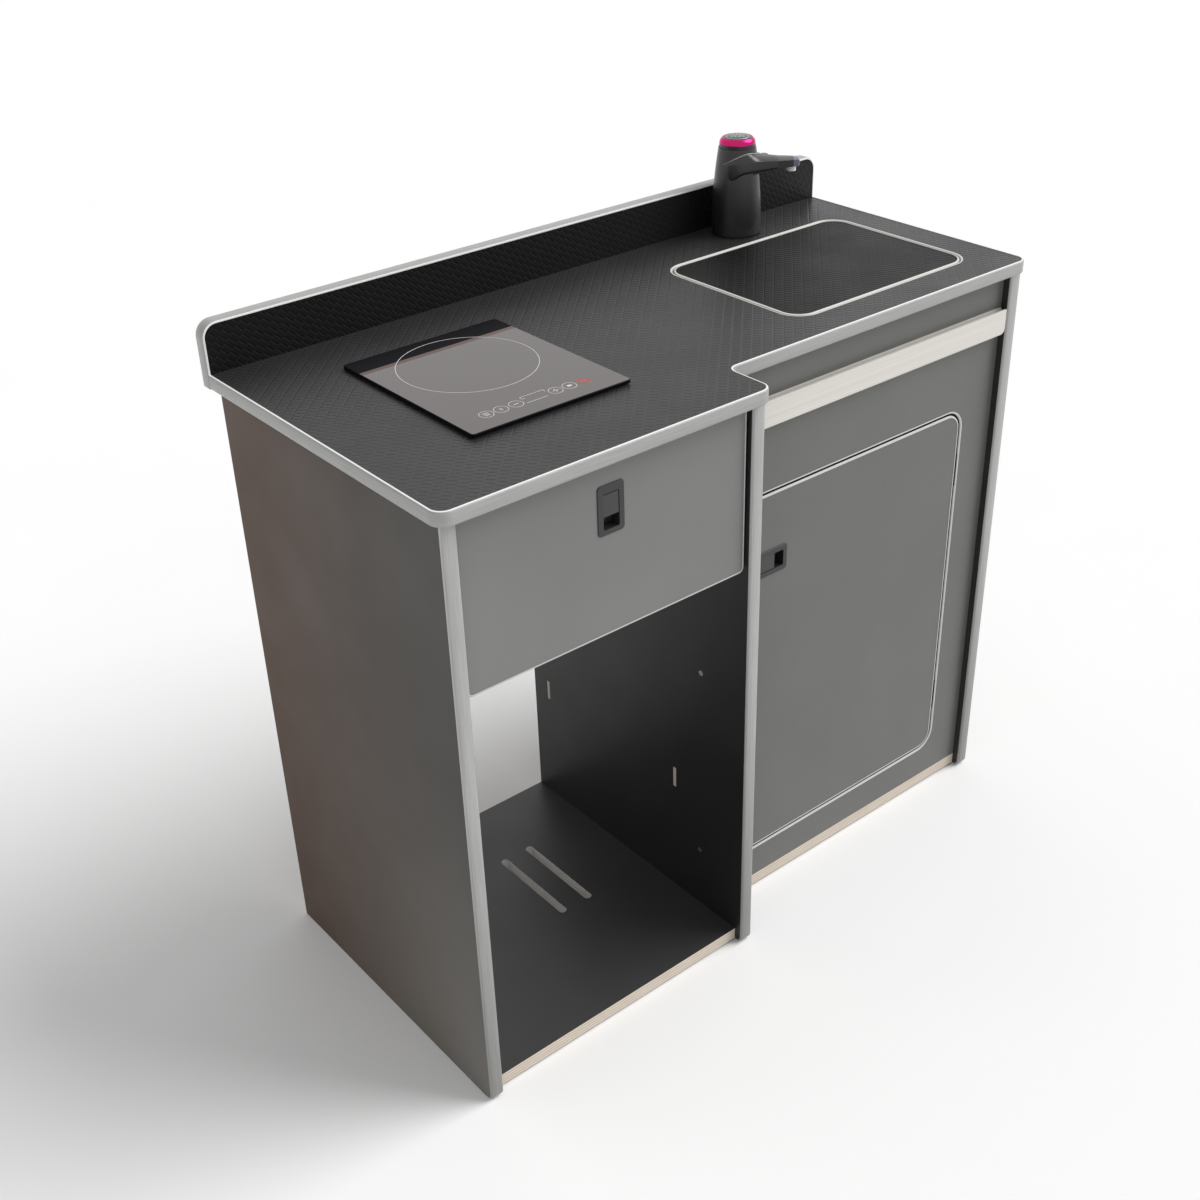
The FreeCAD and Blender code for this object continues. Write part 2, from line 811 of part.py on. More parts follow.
def ring_edging(label, x, y, z, plane, length, width, corner, outside, thickness, front):
    """Edging round a closed board edge: a thin ring with its crown rounded on the side that shows."""
    body = new_body(label, x, y, z)
    sketch = sketch_on(body, plane)
    draw_box(sketch, "0", "0", length, width, corner)
    draw_box(sketch, "edging_cap", "edging_cap", f"{length} - 2 * edging_cap", f"{width} - 2 * edging_cap",
             f"{corner} - edging_cap")
    pad(body, sketch, thickness)
    shown = {"XZ": "Y", "XY": "Z"}[plane]
    position = 0 if front else value(thickness)
    face_shown = next(item for item in body.Tip.Shape.Faces
                      if lies_at(item, shown, position) and len(item.Wires) == 2)
    wires = sorted(face_shown.Wires, key=lambda wire: wire.Length)
    crown = wires[1] if outside else wires[0]
    dress(body, "Fillet", "edging_round", lambda edge: any(edge.isSame(other) for other in crown.Edges))
    return keep(body)


ring_edging("door_opening_edging", "opening_left", "face_front - edging_lip", "opening_low", "XZ",
            "opening_width", "opening_height", "opening_corner", False, "board + edging_lip", True)

# Table rail: a hook profile along the face panel, with its right lower corner rounded

rail_length = "cupboard_width - rail_left_gap - rail_right_gap"
rail = new_body("table_rail", "cupboard_left + rail_left_gap", "face_front - rail_reach", "rail_low")
rail_sketch = sketch_on(rail, "YZ")
draw_outline(rail_sketch, [
    ("0", "0"),
    ("rail_reach", "0"),
    ("rail_reach", "rail_height"),
    ("rail_reach - rail_wall", "rail_height"),
    ("rail_reach - rail_wall", "rail_height - rail_lip"),
    ("rail_wall", "rail_height - rail_lip"),
    ("rail_wall", "rail_height"),
    ("0", "rail_height"),
])
pad(rail, rail_sketch, rail_length)
RAIL_END = value(rail_length)
dress(rail, "Fillet", "rail_corner", lambda edge: lies_at(edge, "X", RAIL_END) and lies_at(edge, "Z", 0))
keep(rail)

# Top rails and bottle rails

keep(simple_board("bay_front_rail", "bay_left", "carcass_front + top_rail_front", "worktop_under - board",
                  "bay_width", "top_rail_depth", "board"))
group("rear_rails", [
    simple_board("rear_rail", rail_left, "carcass_rear - rear_rail_thickness",
                 "worktop_under - rear_rail_height", rail_span, "rear_rail_thickness", "rear_rail_height")
    for rail_left, rail_span in (("bay_left", "bay_width"), ("cupboard_left", "cupboard_width"))])

bottle_rails = []
for inset in BOTTLE_RAILS:
    bottle_rail = new_body("bottle_rail", "bay_right", f"carcass_front + {inset}", "bottle_rail_low")
    shoulder = "(bottle_rail_height - tongue_height) / 2"
    far = "board + cupboard_width"
    bottle_sketch = sketch_on(bottle_rail, "XZ")
    draw_outline(bottle_sketch, [
        ("board", "0"),
        (far, "0"),
        (far, shoulder),
        (f"{far} + board / 2", shoulder),
        (f"{far} + board / 2", f"{shoulder} + tongue_height"),
        (far, f"{shoulder} + tongue_height"),
        (far, "bottle_rail_height"),
        ("board", "bottle_rail_height"),
        ("board", f"{shoulder} + tongue_height"),
        ("0", f"{shoulder} + tongue_height"),
        ("0", shoulder),
        ("board", shoulder),
    ])
    pad(bottle_rail, bottle_sketch, "bottle_rail_thickness")
    bottle_rails.append(bottle_rail)
group("bottle_rails", bottle_rails)


# Worktop, its edging and the upstand

def worktop_path(inset, rear):
    """Corners of the worktop's outline, a distance inside its edge, from left rear to right rear."""
    notch = "carcass_left_to_notch"
    return [
        (inset, rear),
        (inset, inset, f"worktop_corner - {inset}"),
        (f"{notch} - {inset}", inset, f"worktop_corner - {inset}"),
        (f"{notch} - {inset}", f"front_step + {inset}", f"notch_corner + {inset}"),
        (f"total_length - {inset}", f"front_step + {inset}", f"worktop_corner - {inset}"),
        (f"total_length - {inset}", rear),
    ]


def named(path):
    """The path with the notch's place written out."""
    notch = "(cupboard_left + notch_overhang - total_left)"
    return [tuple(part.replace("carcass_left_to_notch", notch) for part in corner) for corner in path]


WORKTOP_REAR = "upstand_front - total_front"
worktop = new_body("worktop", "total_left", "total_front", "worktop_under")
worktop_sketch = sketch_on(worktop, "XY")
draw_outline(worktop_sketch, named(worktop_path("edging_cap", WORKTOP_REAR)))
pad(worktop, worktop_sketch, "board")
cutouts = sketch_on(worktop, "XY", "board")
draw_box(cutouts, "casing_left - total_left - cutout_clearance", "casing_y - total_front - cutout_clearance",
         "casing_length + 2 * cutout_clearance", "casing_width + 2 * cutout_clearance")
draw_box(cutouts, "sink_left - total_left", "sink_y - total_front", "sink_length", "sink_width",
         "sink_corner")
draw_circle(cutouts, "tap_x - total_left", "tap_y - total_front", "tap_hole")
pocket(worktop, cutouts, "board")
keep(worktop)

worktop_edging = new_body("worktop_edging", "total_left", "total_front", "worktop_under")
edging_sketch = sketch_on(worktop_edging, "XY")
outer_path = named(worktop_path("0", f"{WORKTOP_REAR} - edging_lip"))
inner_path = named(worktop_path("edging_cap", f"{WORKTOP_REAR} - edging_lip"))
draw_outline(edging_sketch, outer_path + inner_path[::-1])
pad(worktop_edging, edging_sketch, "board + edging_lip")
worktop_crown = outer_edges(worktop, "Z", [0, value("board + edging_lip")],
                            value("edging_cap") / 2 + value("edging_lip"))
dress(worktop_edging, "Fillet", "edging_round", worktop_crown)
keep(worktop_edging)

UPSTAND_TALL = "board + upstand_height"
upstand = new_body("upstand", "total_left", "upstand_front", "worktop_under")
upstand_sketch = sketch_on(upstand, "XZ")
draw_outline(upstand_sketch, [
    ("edging_cap", "0"),
    ("total_length - edging_cap", "0"),
    ("total_length - edging_cap", f"{UPSTAND_TALL} - edging_cap", "upstand_corner - edging_cap"),
    ("edging_cap", f"{UPSTAND_TALL} - edging_cap", "upstand_corner - edging_cap"),
])
pad(upstand, upstand_sketch, "board")
keep(upstand)

upstand_edging = new_body("upstand_edging", "total_left", "upstand_front - edging_lip", "worktop_under")
upstand_band = sketch_on(upstand_edging, "XZ")
draw_outline(upstand_band, [
    ("0", "0"),
    ("edging_cap", "0"),
    ("edging_cap", f"{UPSTAND_TALL} - edging_cap", "upstand_corner - edging_cap"),
    ("total_length - edging_cap", f"{UPSTAND_TALL} - edging_cap", "upstand_corner - edging_cap"),
    ("total_length - edging_cap", "0"),
    ("total_length", "0"),
    ("total_length", UPSTAND_TALL, "upstand_corner"),
    ("0", UPSTAND_TALL, "upstand_corner"),
])
pad(upstand_edging, upstand_band, "edging_width")
upstand_crown = outer_edges(upstand, "Y", [0, value("edging_width")],
                            value("edging_cap") / 2 + value("edging_lip"))
dress(upstand_edging, "Fillet", "edging_round", upstand_crown)
keep(upstand_edging)

# Sink opening, lid, bowl and waste

ring_edging("sink_opening_edging", "sink_left", "sink_y", "worktop_under", "XY", "sink_length",
            "sink_width", "sink_corner", False, "board + edging_lip", False)

LID_LENGTH = "sink_length - 2 * lid_inset"
LID_WIDTH = "sink_width - 2 * lid_inset"
LID_CORNER = "sink_corner - lid_inset"
ring_edging("sink_lid_edging", "sink_left + lid_inset", "sink_y + lid_inset", "worktop_under", "XY",
            LID_LENGTH, LID_WIDTH, LID_CORNER, True, "board + edging_lip", False)
lid = new_body("sink_lid", "sink_left + lid_inset", "sink_y + lid_inset", "worktop_under")
lid_sketch = sketch_on(lid, "XY")
draw_box(lid_sketch, "edging_cap", "edging_cap", f"{LID_LENGTH} - 2 * edging_cap",
         f"{LID_WIDTH} - 2 * edging_cap", f"{LID_CORNER} - edging_cap")
pad(lid, lid_sketch, "board")
keep(lid)

bowl = new_body("sink_bowl", "sink_left + mouth_inset", "sink_y + mouth_inset", "bowl_floor")
bowl_sketch = sketch_on(bowl, "XY")
draw_box(bowl_sketch, "-sink_sheet", "-sink_sheet", "mouth_length + 2 * sink_sheet",
         "mouth_width + 2 * sink_sheet", "bowl_corner + sink_sheet")
pad(bowl, bowl_sketch, "bowl_depth - sink_sheet")
rim_sketch = sketch_on(bowl, "XY", "bowl_depth - sink_sheet")
draw_box(rim_sketch, "-rim_margin", "-rim_margin", "mouth_length + 2 * rim_margin",
         "mouth_width + 2 * rim_margin", "sink_corner")
pad(bowl, rim_sketch, "sink_sheet")
hollow_sketch = sketch_on(bowl, "XY", "bowl_depth")
draw_box(hollow_sketch, "0", "0", "mouth_length", "mouth_width", "bowl_corner")
pocket(bowl, hollow_sketch, "bowl_depth - sink_sheet")
SHEET = value("sink_sheet")
dress(bowl, "Fillet", "bowl_corner - sink_sheet", lambda edge: lies_at(edge, "Z", SHEET))
dress(bowl, "Fillet", "bowl_corner", lambda edge: lies_at(edge, "Z", 0))
bore(bowl, "XY", "bowl_depth", "mouth_length / 2", "mouth_width / 2",
     "waste_body_radius + joint_clearance", "bowl_depth")
keep(bowl)

waste = new_body("sink_waste", "sink_middle_x", "sink_middle_y", "bowl_floor + sink_sheet")
waste_sketch = sketch_on(waste, "XZ")
WASTE_LOW = "-(sink_sheet + waste_body_height)"
draw_polygon(waste_sketch, [
    ("waste_tail_radius - waste_wall", f"{WASTE_LOW} - waste_tail_length"),
    ("waste_tail_radius", f"{WASTE_LOW} - waste_tail_length"),
    ("waste_tail_radius", WASTE_LOW),
    ("waste_body_radius", WASTE_LOW),
    ("waste_body_radius", "-(sink_sheet + waste_nut_height)"),
    ("waste_nut_radius", "-(sink_sheet + waste_nut_height)"),
    ("waste_nut_radius", "-sink_sheet"),
    ("waste_body_radius", "-sink_sheet"),
    ("waste_body_radius", "0"),
    ("waste_radius", "0"),
    ("waste_radius", "waste_wall / 2"),
    ("waste_body_radius - waste_wall", "waste_wall"),
    ("waste_body_radius - 2 * waste_wall", f"{WASTE_LOW} + waste_wall"),
    ("waste_tail_radius - waste_wall", f"{WASTE_LOW} + waste_wall"),
])
turned(waste, waste_sketch)
keep(waste)

# Hob: glass, gasket, casing, coil, fan and control board

glass = new_body("hob_glass", "hob_left", "hob_y", "glass_level")
glass_sketch = sketch_on(glass, "XY")
draw_box(glass_sketch, "0", "0", "hob_length", "hob_width", "hob_corner")
pad(glass, glass_sketch, "hob_glass")
GLASS_TOP = value("hob_glass")
dress(glass, "Chamfer", "hob_glass / 4", lambda edge: lies_at(edge, "Z", GLASS_TOP))
keep(glass)

gasket = new_body("hob_gasket", "hob_left", "hob_y", "worktop_height")
gasket_sketch = sketch_on(gasket, "XY")
draw_box(gasket_sketch, "gasket_inset", "gasket_inset", "hob_length - 2 * gasket_inset",
         "hob_width - 2 * gasket_inset", "hob_corner")
draw_box(gasket_sketch, "gasket_width", "gasket_width", "hob_length - 2 * gasket_width",
         "hob_width - 2 * gasket_width")
pad(gasket, gasket_sketch, "gasket_height")
keep(gasket)

casing = new_body("hob_casing", "casing_left", "casing_y", "casing_level")
casing_sketch = sketch_on(casing, "XY")
draw_box(casing_sketch, "0", "0", "casing_length", "casing_width")
pad(casing, casing_sketch, "casing_depth")
hollow = sketch_on(casing, "XY", "casing_depth")
draw_box(hollow, "casing_sheet", "casing_sheet", "casing_length - 2 * casing_sheet",
         "casing_width - 2 * casing_sheet")
pocket(casing, hollow, "casing_depth - casing_sheet")
vents = sketch_on(casing, "XY", "casing_sheet")
VENT_MIDDLE_X = "fan_x - casing_left"
VENT_MIDDLE_Y = "fan_y - casing_y"
for row in range(SIZES["vent_rows"]):
    shift = f"({row} - (vent_rows - 1) / 2) * vent_pitch"
    draw_slot(vents, f"{VENT_MIDDLE_X} + {shift}", f"{VENT_MIDDLE_Y} - vent_length / 2",
              f"{VENT_MIDDLE_Y} + vent_length / 2", "vent_width / 2")
pocket(casing, vents, "casing_sheet")
keep(casing)

coil = new_body("hob_coil", "coil_x", "coil_y", "coil_level")
coil_sketch = sketch_on(coil, "XZ")
draw_box(coil_sketch, "coil_bore", "0", "coil_radius - coil_bore", "coil_height")
turned(coil, coil_sketch)
leg_sketch = sketch_on(coil, "XY", "casing_floor - coil_level")
draw_circle(leg_sketch, "coil_radius - 2 * coil_leg", "0", "coil_leg")
leg = pad(coil, leg_sketch, "coil_level - casing_floor")
pattern_about(coil, leg, "Z_Axis", 4)
keep(coil)

fan_frame = new_body("hob_fan_frame", "fan_x", "fan_y", "casing_floor")
frame_sketch = sketch_on(fan_frame, "XY")
draw_box(frame_sketch, "-fan_size / 2", "-fan_size / 2", "fan_size", "fan_size", "coil_leg")
pad(fan_frame, frame_sketch, "fan_height")
bore(fan_frame, "XY", "fan_height", "0", "0", "fan_bore", "fan_height - fan_strut")
inlet = sketch_on(fan_frame, "XY", "fan_strut")
draw_outline(inlet, [
    ("fan_strut / 2", "fan_strut / 2"),
    ("fan_bore * 0.7", "fan_strut / 2"),
    ("fan_bore * 0.7", "fan_bore * 0.7", "fan_bore * 0.45"),
    ("fan_strut / 2", "fan_bore * 0.7"),
])
window = pocket(fan_frame, inlet, "fan_strut")
pattern_about(fan_frame, window, "Z_Axis", 4)
spindle_sketch = sketch_on(fan_frame, "XY")
draw_circle(spindle_sketch, "0", "0", "fan_spindle")
pad(fan_frame, spindle_sketch, "fan_height - fan_strut")
keep(fan_frame)

impeller = new_body("hob_fan_impeller", "fan_x", "fan_y", "casing_floor + fan_strut + hinge_play")
hub_sketch = sketch_on(impeller, "XY")
draw_circle(hub_sketch, "0", "0", "fan_hub")
pad(impeller, hub_sketch, "fan_height - fan_strut - 2 * hinge_play")
blade_sketch = sketch_on(impeller, "YZ")
BLADE_FOOT = "fan_blade"
BLADE_HEIGHT = "(fan_height - fan_strut - 3 * fan_blade)"
draw_polygon(blade_sketch, [
    (f"-{BLADE_HEIGHT} / 2", BLADE_FOOT),
    (f"-{BLADE_HEIGHT} / 2 + fan_blade", BLADE_FOOT),
    (f"{BLADE_HEIGHT} / 2", f"{BLADE_FOOT} + {BLADE_HEIGHT} * 0.9"),
    (f"{BLADE_HEIGHT} / 2 - fan_blade", f"{BLADE_FOOT} + {BLADE_HEIGHT} * 0.9"),
])
blade = pad(impeller, blade_sketch, "fan_bore - fan_tip_gap - fan_blade")
pattern_about(impeller, blade, "Z_Axis", 7)
bore(impeller, "XY", "fan_height", "0", "0", "fan_spindle + pin_clearance", "fan_height")
keep(impeller)

circuit = new_body("hob_control_board", "fan_x + fan_size / 2 + fan_inset / 2", "fan_y - fan_size / 2",
                   "casing_floor")
circuit_sketch = sketch_on(circuit, "XY", "board_post")
draw_box(circuit_sketch, "0", "0", "board_length", "board_width")
pad(circuit, circuit_sketch, "board_thickness")
posts = sketch_on(circuit, "XY")
for post_x in ("board_post", "board_length - board_post"):
    for post_y in ("board_post", "board_width - board_post"):
        draw_circle(posts, post_x, post_y, "board_post / 2")
pad(circuit, posts, "board_post")
keep(circuit)

# Tap: mount, body with spout, ring, button and nozzle

TAP_TURN = Rotation(Vector(0, 0, 1), value("spout_turn"))

mount = new_body("tap_mount", "tap_x", "tap_y", "worktop_height")
mount_sketch = sketch_on(mount, "XZ")
draw_polygon(mount_sketch, [
    ("0", "-(tap_shank_length + tap_tail_length)"),
    ("tap_tail_radius", "-(tap_shank_length + tap_tail_length)"),
    ("tap_tail_radius", "-tap_shank_length"),
    ("tap_shank", "-tap_shank_length"),
    ("tap_shank", "-(board + tap_nut_height)"),
    ("tap_nut_radius", "-(board + tap_nut_height)"),
    ("tap_nut_radius", "-board"),
    ("tap_shank", "-board"),
    ("tap_shank", "0"),
    ("tap_foot", "0"),
    ("tap_foot", "tap_foot_height"),
    ("tap_spigot", "tap_foot_height"),
    ("tap_spigot", "tap_foot_height + tap_spigot_height"),
    ("0", "tap_foot_height + tap_spigot_height"),
])
turned(mount, mount_sketch)
keep(mount)

tap_body = new_body("tap_body", "tap_x", "tap_y", "tap_body_level", TAP_TURN)
barrel = sketch_on(tap_body, "XZ")
draw_polygon(barrel, [
    ("0", "tap_spigot_height"),
    ("tap_spigot + pin_clearance", "tap_spigot_height"),
    ("tap_spigot + pin_clearance", "0"),
    ("tap_base_radius", "0", "tap_bulge"),
    ("tap_neck_radius", "tap_body_height"),
    ("0", "tap_body_height"),
])
turned(tap_body, barrel)


def spout_section(at, name):
    """The arm across its length: level below, arched above."""
    section = sketch_on(tap_body, "YZ", at)
    half = f"spout_{name}_width / 2"
    draw_polygon(section, [
        (f"-{half}", f"spout_top - spout_{name}_height"),
        (half, f"spout_top - spout_{name}_height"),
        (half, "spout_top", f"spout_{name}_crown"),
        (f"-{half}", "spout_top"),
    ])
    return section


spout = tap_body.newObject("PartDesign::AdditiveLoft", "tap_body_spout")
spout.Profile = spout_section("0", "root")
spout.Sections = [spout_section("spout_bend", "bend"), spout_section("spout_reach", "tip")]
doc.recompute()
SPOUT_END = value("spout_reach")
dress(tap_body, "Fillet", "spout_tip_round", lambda edge: lies_at(edge, "X", SPOUT_END))
cap_sketch = sketch_on(tap_body, "XY", "spout_top")
draw_circle(cap_sketch, "spout_bend", "spout_cap_back", "spout_cap_radius")
pad(tap_body, cap_sketch, "spout_cap_rise")
CAP_TOP = value("spout_top + spout_cap_rise")
dress(tap_body, "Fillet", "spout_cap_rise / 3", lambda edge: lies_at(edge, "Z", CAP_TOP))
NOZZLE_SEAT = "spout_top - spout_tip_height + nozzle_seat"
NOZZLE_LOW = f"{NOZZLE_SEAT} - nozzle_height"
bore(tap_body, "XY", NOZZLE_LOW, "spout_reach - nozzle_inset", "0", "nozzle_radius + joint_clearance",
     "nozzle_height", forward=True)
keep(tap_body)

ring = new_body("tap_ring", "tap_x", "tap_y", "tap_ring_level", TAP_TURN)
ring_sketch = sketch_on(ring, "XZ")
draw_polygon(ring_sketch, [
    ("0", "0"),
    ("tap_ring_radius", "0"),
    ("tap_ring_radius", "tap_ring_height * 0.4", "tap_ring_dome / 2"),
    ("tap_ring_bore + tap_button_dish", "tap_ring_height"),
    ("tap_ring_bore", "tap_ring_height"),
    ("tap_ring_bore", "tap_button_travel"),
    ("0", "tap_button_travel"),
])
turned(ring, ring_sketch)
keep(ring)

button = new_body("tap_button", "tap_x", "tap_y", "tap_ring_level + 2 * tap_button_travel + tap_play",
                  TAP_TURN)
button_sketch = sketch_on(button, "XZ")
BUTTON_TOP = "tap_ring_height - 2 * tap_button_travel - tap_play"
draw_polygon(button_sketch, [
    ("0", "0"),
    ("tap_button_radius", "0"),
    ("tap_button_radius", f"{BUTTON_TOP}"),
    ("tap_button_radius - tap_button_dish", f"{BUTTON_TOP} + tap_button_dish / 2"),
    ("0", f"{BUTTON_TOP} + tap_button_dish / 2"),
])
turned(button, button_sketch)
keep(button)

nozzle = new_body("tap_nozzle", "tap_x", "tap_y", "tap_body_level", TAP_TURN)
nozzle_sketch = sketch_on(nozzle, "XY", NOZZLE_LOW)
draw_circle(nozzle_sketch, "spout_reach - nozzle_inset", "0", "nozzle_radius")
pad(nozzle, nozzle_sketch, "nozzle_height")
keep(nozzle)


# Drawer: front with edging, box and runners

drawer_front = new_body("drawer_front", "drawer_left", "drawer_front_face", "drawer_low")
front_sketch = sketch_on(drawer_front, "XZ")
draw_box(front_sketch, "edging_cap", "edging_cap", "drawer_width - 2 * edging_cap",
         "drawer_height - 2 * edging_cap", "drawer_corner - edging_cap")
draw_box(front_sketch, "bay_middle - drawer_left - latch_body_width / 2 - joint_clearance",
         "drawer_latch_level - drawer_low - latch_body_height / 2 - joint_clearance",
         "latch_body_width + 2 * joint_clearance", "latch_body_height + 2 * joint_clearance",
         "latch_corner / 2")
pad(drawer_front, front_sketch, "board")
keep(drawer_front)
ring_edging("drawer_front_edging", "drawer_left", "drawer_front_face - edging_lip", "drawer_low", "XZ",
            "drawer_width", "drawer_height", "drawer_corner", True, "board + edging_lip", True)

keep(simple_board("drawer_bottom", "box_left", "box_front", "box_low", "box_width", "drawer_length",
                  "drawer_floor"))
keep(simple_board("drawer_side_left", "box_left", "box_front", "box_side_low", "drawer_side",
                  "drawer_length", "drawer_side_height"))
keep(simple_board("drawer_side_right", "box_left + box_width - drawer_side", "box_front",
                  "box_side_low", "drawer_side", "drawer_length", "drawer_side_height"))
keep(simple_board("drawer_back", "box_left + drawer_side", "box_front + drawer_length - drawer_side",
                  "box_side_low", "box_inner_width", "drawer_side", "drawer_side_height"))

RUNNER_SIDES = {
    "left": ("bay_left", Rotation()),
    "right": ("bay_right", Rotation(Vector(0, 0, 1), 180)),
}


def channel(label, side, web, flange_end, inset, opens_out):
    """One rolled channel of a runner: an upright web with a flange above and below."""
    x, rotation = RUNNER_SIDES[side]
    y = "runner_front" if side == "left" else "runner_front + drawer_length - 2 * runner_play"
    body = new_body(label, x, y, "runner_level", rotation)
    low, high = inset, f"runner_height - {inset}"
    back, front = web, flange_end
    step = "runner_sheet" if opens_out else "-runner_sheet"
    sketch = sketch_on(body, "XZ")
    draw_outline(sketch, [
        (back, low),
        (front, low),
        (front, f"{low} + runner_sheet"),
        (f"{back} + {step}", f"{low} + runner_sheet"),
        (f"{back} + {step}", f"{high} - runner_sheet"),
        (front, f"{high} - runner_sheet"),
        (front, high),
        (back, high),
    ])
    pad(body, sketch, "drawer_length - 2 * runner_play")
    return body


NEST = "(runner_sheet + runner_play)"
group("runner_outers", [
    channel("runner_outer", side, "0", f"runner_thickness - 2 * {NEST}", "0", True)
    for side in RUNNER_SIDES])
for side in RUNNER_SIDES:
    keep(channel(f"runner_middle_{side}", side, NEST, f"runner_thickness - {NEST}", NEST, True))
    keep(channel(f"runner_inner_{side}", side, "runner_thickness + runner_play", f"2 * {NEST}",
                 f"2 * {NEST}", False))


# Flush latches. Each is built in a frame of its own, whose origin is the middle of the bezel on the
# panel's face: X across the latch, Y into the panel and Z the way the bolt points.

def latch_parts(prefix, x, y, z, rotation):
    housing = new_body(prefix + "_latch_housing", x, y, z, rotation)
    bezel = sketch_on(housing, "XZ", "-bezel_proud")
    draw_box(bezel, "-latch_width / 2", "-latch_height / 2", "latch_width", "latch_height", "latch_corner")
    pad(housing, bezel, "bezel_proud")
    front = -value("bezel_proud")
    dress(housing, "Fillet", "bezel_proud * 0.6", lambda edge: lies_at(edge, "Y", front))
    block = sketch_on(housing, "XZ")
    draw_box(block, "-latch_body_width / 2", "-latch_body_height / 2", "latch_body_width",
             "latch_body_height", "latch_corner / 2")
    pad(housing, block, "board")
    case = sketch_on(housing, "XZ", "board")
    draw_box(case, "-latch_case_width / 2", "-latch_case_low", "latch_case_width",
             "latch_case_low + latch_case_high")
    pad(housing, case, "latch_case_depth - board")
    recess = sketch_on(housing, "XZ", "-bezel_proud")
    draw_box(recess, "-recess_width / 2", "-recess_low", "recess_width", "recess_low + recess_high",
             "recess_corner")
    pocket(housing, recess, "bezel_proud + recess_depth", forward=True)
    channel_cut = sketch_on(housing, "XZ", "bolt_front - bolt_clearance")
    draw_box(channel_cut, "-bolt_width / 2 - bolt_clearance", "-bolt_low - bolt_stroke - bolt_clearance",
             "bolt_width + 2 * bolt_clearance",
             "bolt_low + bolt_stroke + bolt_high + 2 * bolt_clearance")
    pocket(housing, channel_cut, "bolt_rear - bolt_front + 2 * bolt_clearance", forward=True)
    nose_way = sketch_on(housing, "XZ", "nose_front - bolt_clearance")
    draw_box(nose_way, "-bolt_width / 2 - bolt_clearance", "0", "bolt_width + 2 * bolt_clearance",
             "latch_case_high + bolt_stroke")
    pocket(housing, nose_way, "bolt_rear - nose_front + 2 * bolt_clearance", forward=True)
    tail_way = sketch_on(housing, "XZ", "recess_depth")
    draw_box(tail_way, "-tail_width / 2 - paddle_gap",
             "paddle_pivot_rise - bolt_stroke - tail_thickness - paddle_gap",
             "tail_width + 2 * paddle_gap", "bolt_stroke + tail_thickness * 1.5 + 2 * paddle_gap")
    pocket(housing, tail_way, "bolt_front - recess_depth", forward=True)
    bore(housing, "YZ", "-(recess_width / 2 + paddle_pin_reach)", "paddle_pivot_depth",
         "paddle_pivot_rise", "paddle_pin + pin_clearance", "recess_width + 2 * paddle_pin_reach",
         forward=True)
    keep(housing)

    paddle = new_body(prefix + "_latch_paddle", x, y, z, rotation)
    plate = sketch_on(paddle, "XZ", "-paddle_sink")
    draw_box(plate, "-recess_width / 2 + paddle_gap", "-paddle_low", "recess_width - 2 * paddle_gap",
             "paddle_low + paddle_high")
    pad(paddle, plate, "paddle_thickness")
    knuckle = sketch_on(paddle, "YZ", "-recess_width / 2 + paddle_gap")
    draw_circle(knuckle, "paddle_pivot_depth", "paddle_pivot_rise", "paddle_knuckle")
    pad(paddle, knuckle, "recess_width - 2 * paddle_gap")
    pin = sketch_on(paddle, "YZ", "-recess_width / 2 - paddle_pin_reach + paddle_gap / 2")
    draw_circle(pin, "paddle_pivot_depth", "paddle_pivot_rise", "paddle_pin")
    pad(paddle, pin, "recess_width + 2 * paddle_pin_reach - paddle_gap")
    tail = sketch_on(paddle, "YZ", "-tail_width / 2")
    draw_box(tail, "paddle_pivot_depth", "paddle_pivot_rise - tail_thickness / 2", "tail_reach",
             "tail_thickness")
    pad(paddle, tail, "tail_width")
    tip = sketch_on(paddle, "YZ", "-tail_width / 2")
    draw_circle(tip, "paddle_pivot_depth + tail_reach", "paddle_pivot_rise", "tail_tip")
    pad(paddle, tip, "tail_width")
    keep(paddle)

    bolt = new_body(prefix + "_latch_bolt", x, y, z, rotation)
    profile = sketch_on(bolt, "YZ", "-bolt_width / 2")
    draw_polygon(profile, [
        ("bolt_front", "-bolt_low"),
        ("bolt_rear", "-bolt_low"),
        ("bolt_rear", "nose_reach - nose_bevel"),
        ("nose_front + paddle_knuckle", "nose_reach"),
        ("nose_front", "nose_reach"),
        ("nose_front", "bolt_high"),
        ("bolt_front", "bolt_high"),
    ])
    pad(bolt, profile, "bolt_width")
    slot = sketch_on(bolt, "XZ", "bolt_front")
    draw_box(slot, "-tail_width / 2 - paddle_gap", "paddle_pivot_rise - tail_tip - bolt_clearance",
             "tail_width + 2 * paddle_gap", "2 * tail_tip + 2 * bolt_clearance + tail_thickness / 2")
    pocket(bolt, slot, "paddle_pivot_depth + tail_reach + tail_tip + paddle_gap - bolt_front", forward=True)
    keep(bolt)


DOOR_LATCH_TURN = Rotation(Vector(0, 1, 0), -90)
latch_parts("drawer", "bay_middle", "drawer_front_face", "drawer_latch_level", Rotation())
latch_parts("door", "door_latch_x", "face_front", "door_latch_height", DOOR_LATCH_TURN)

# Keepers: one hangs from the front top rail, one stands out from behind the left stile

KEEPER_END = "nose_reach + keeper_clearance"


def keeper(label, x, y, z, rotation, corners):
    body = new_body(label, x, y, z, rotation)
    sketch = sketch_on(body, "YZ", "-keeper_width / 2")
    draw_outline(sketch, corners)
    pad(body, sketch, "keeper_width")
    return body


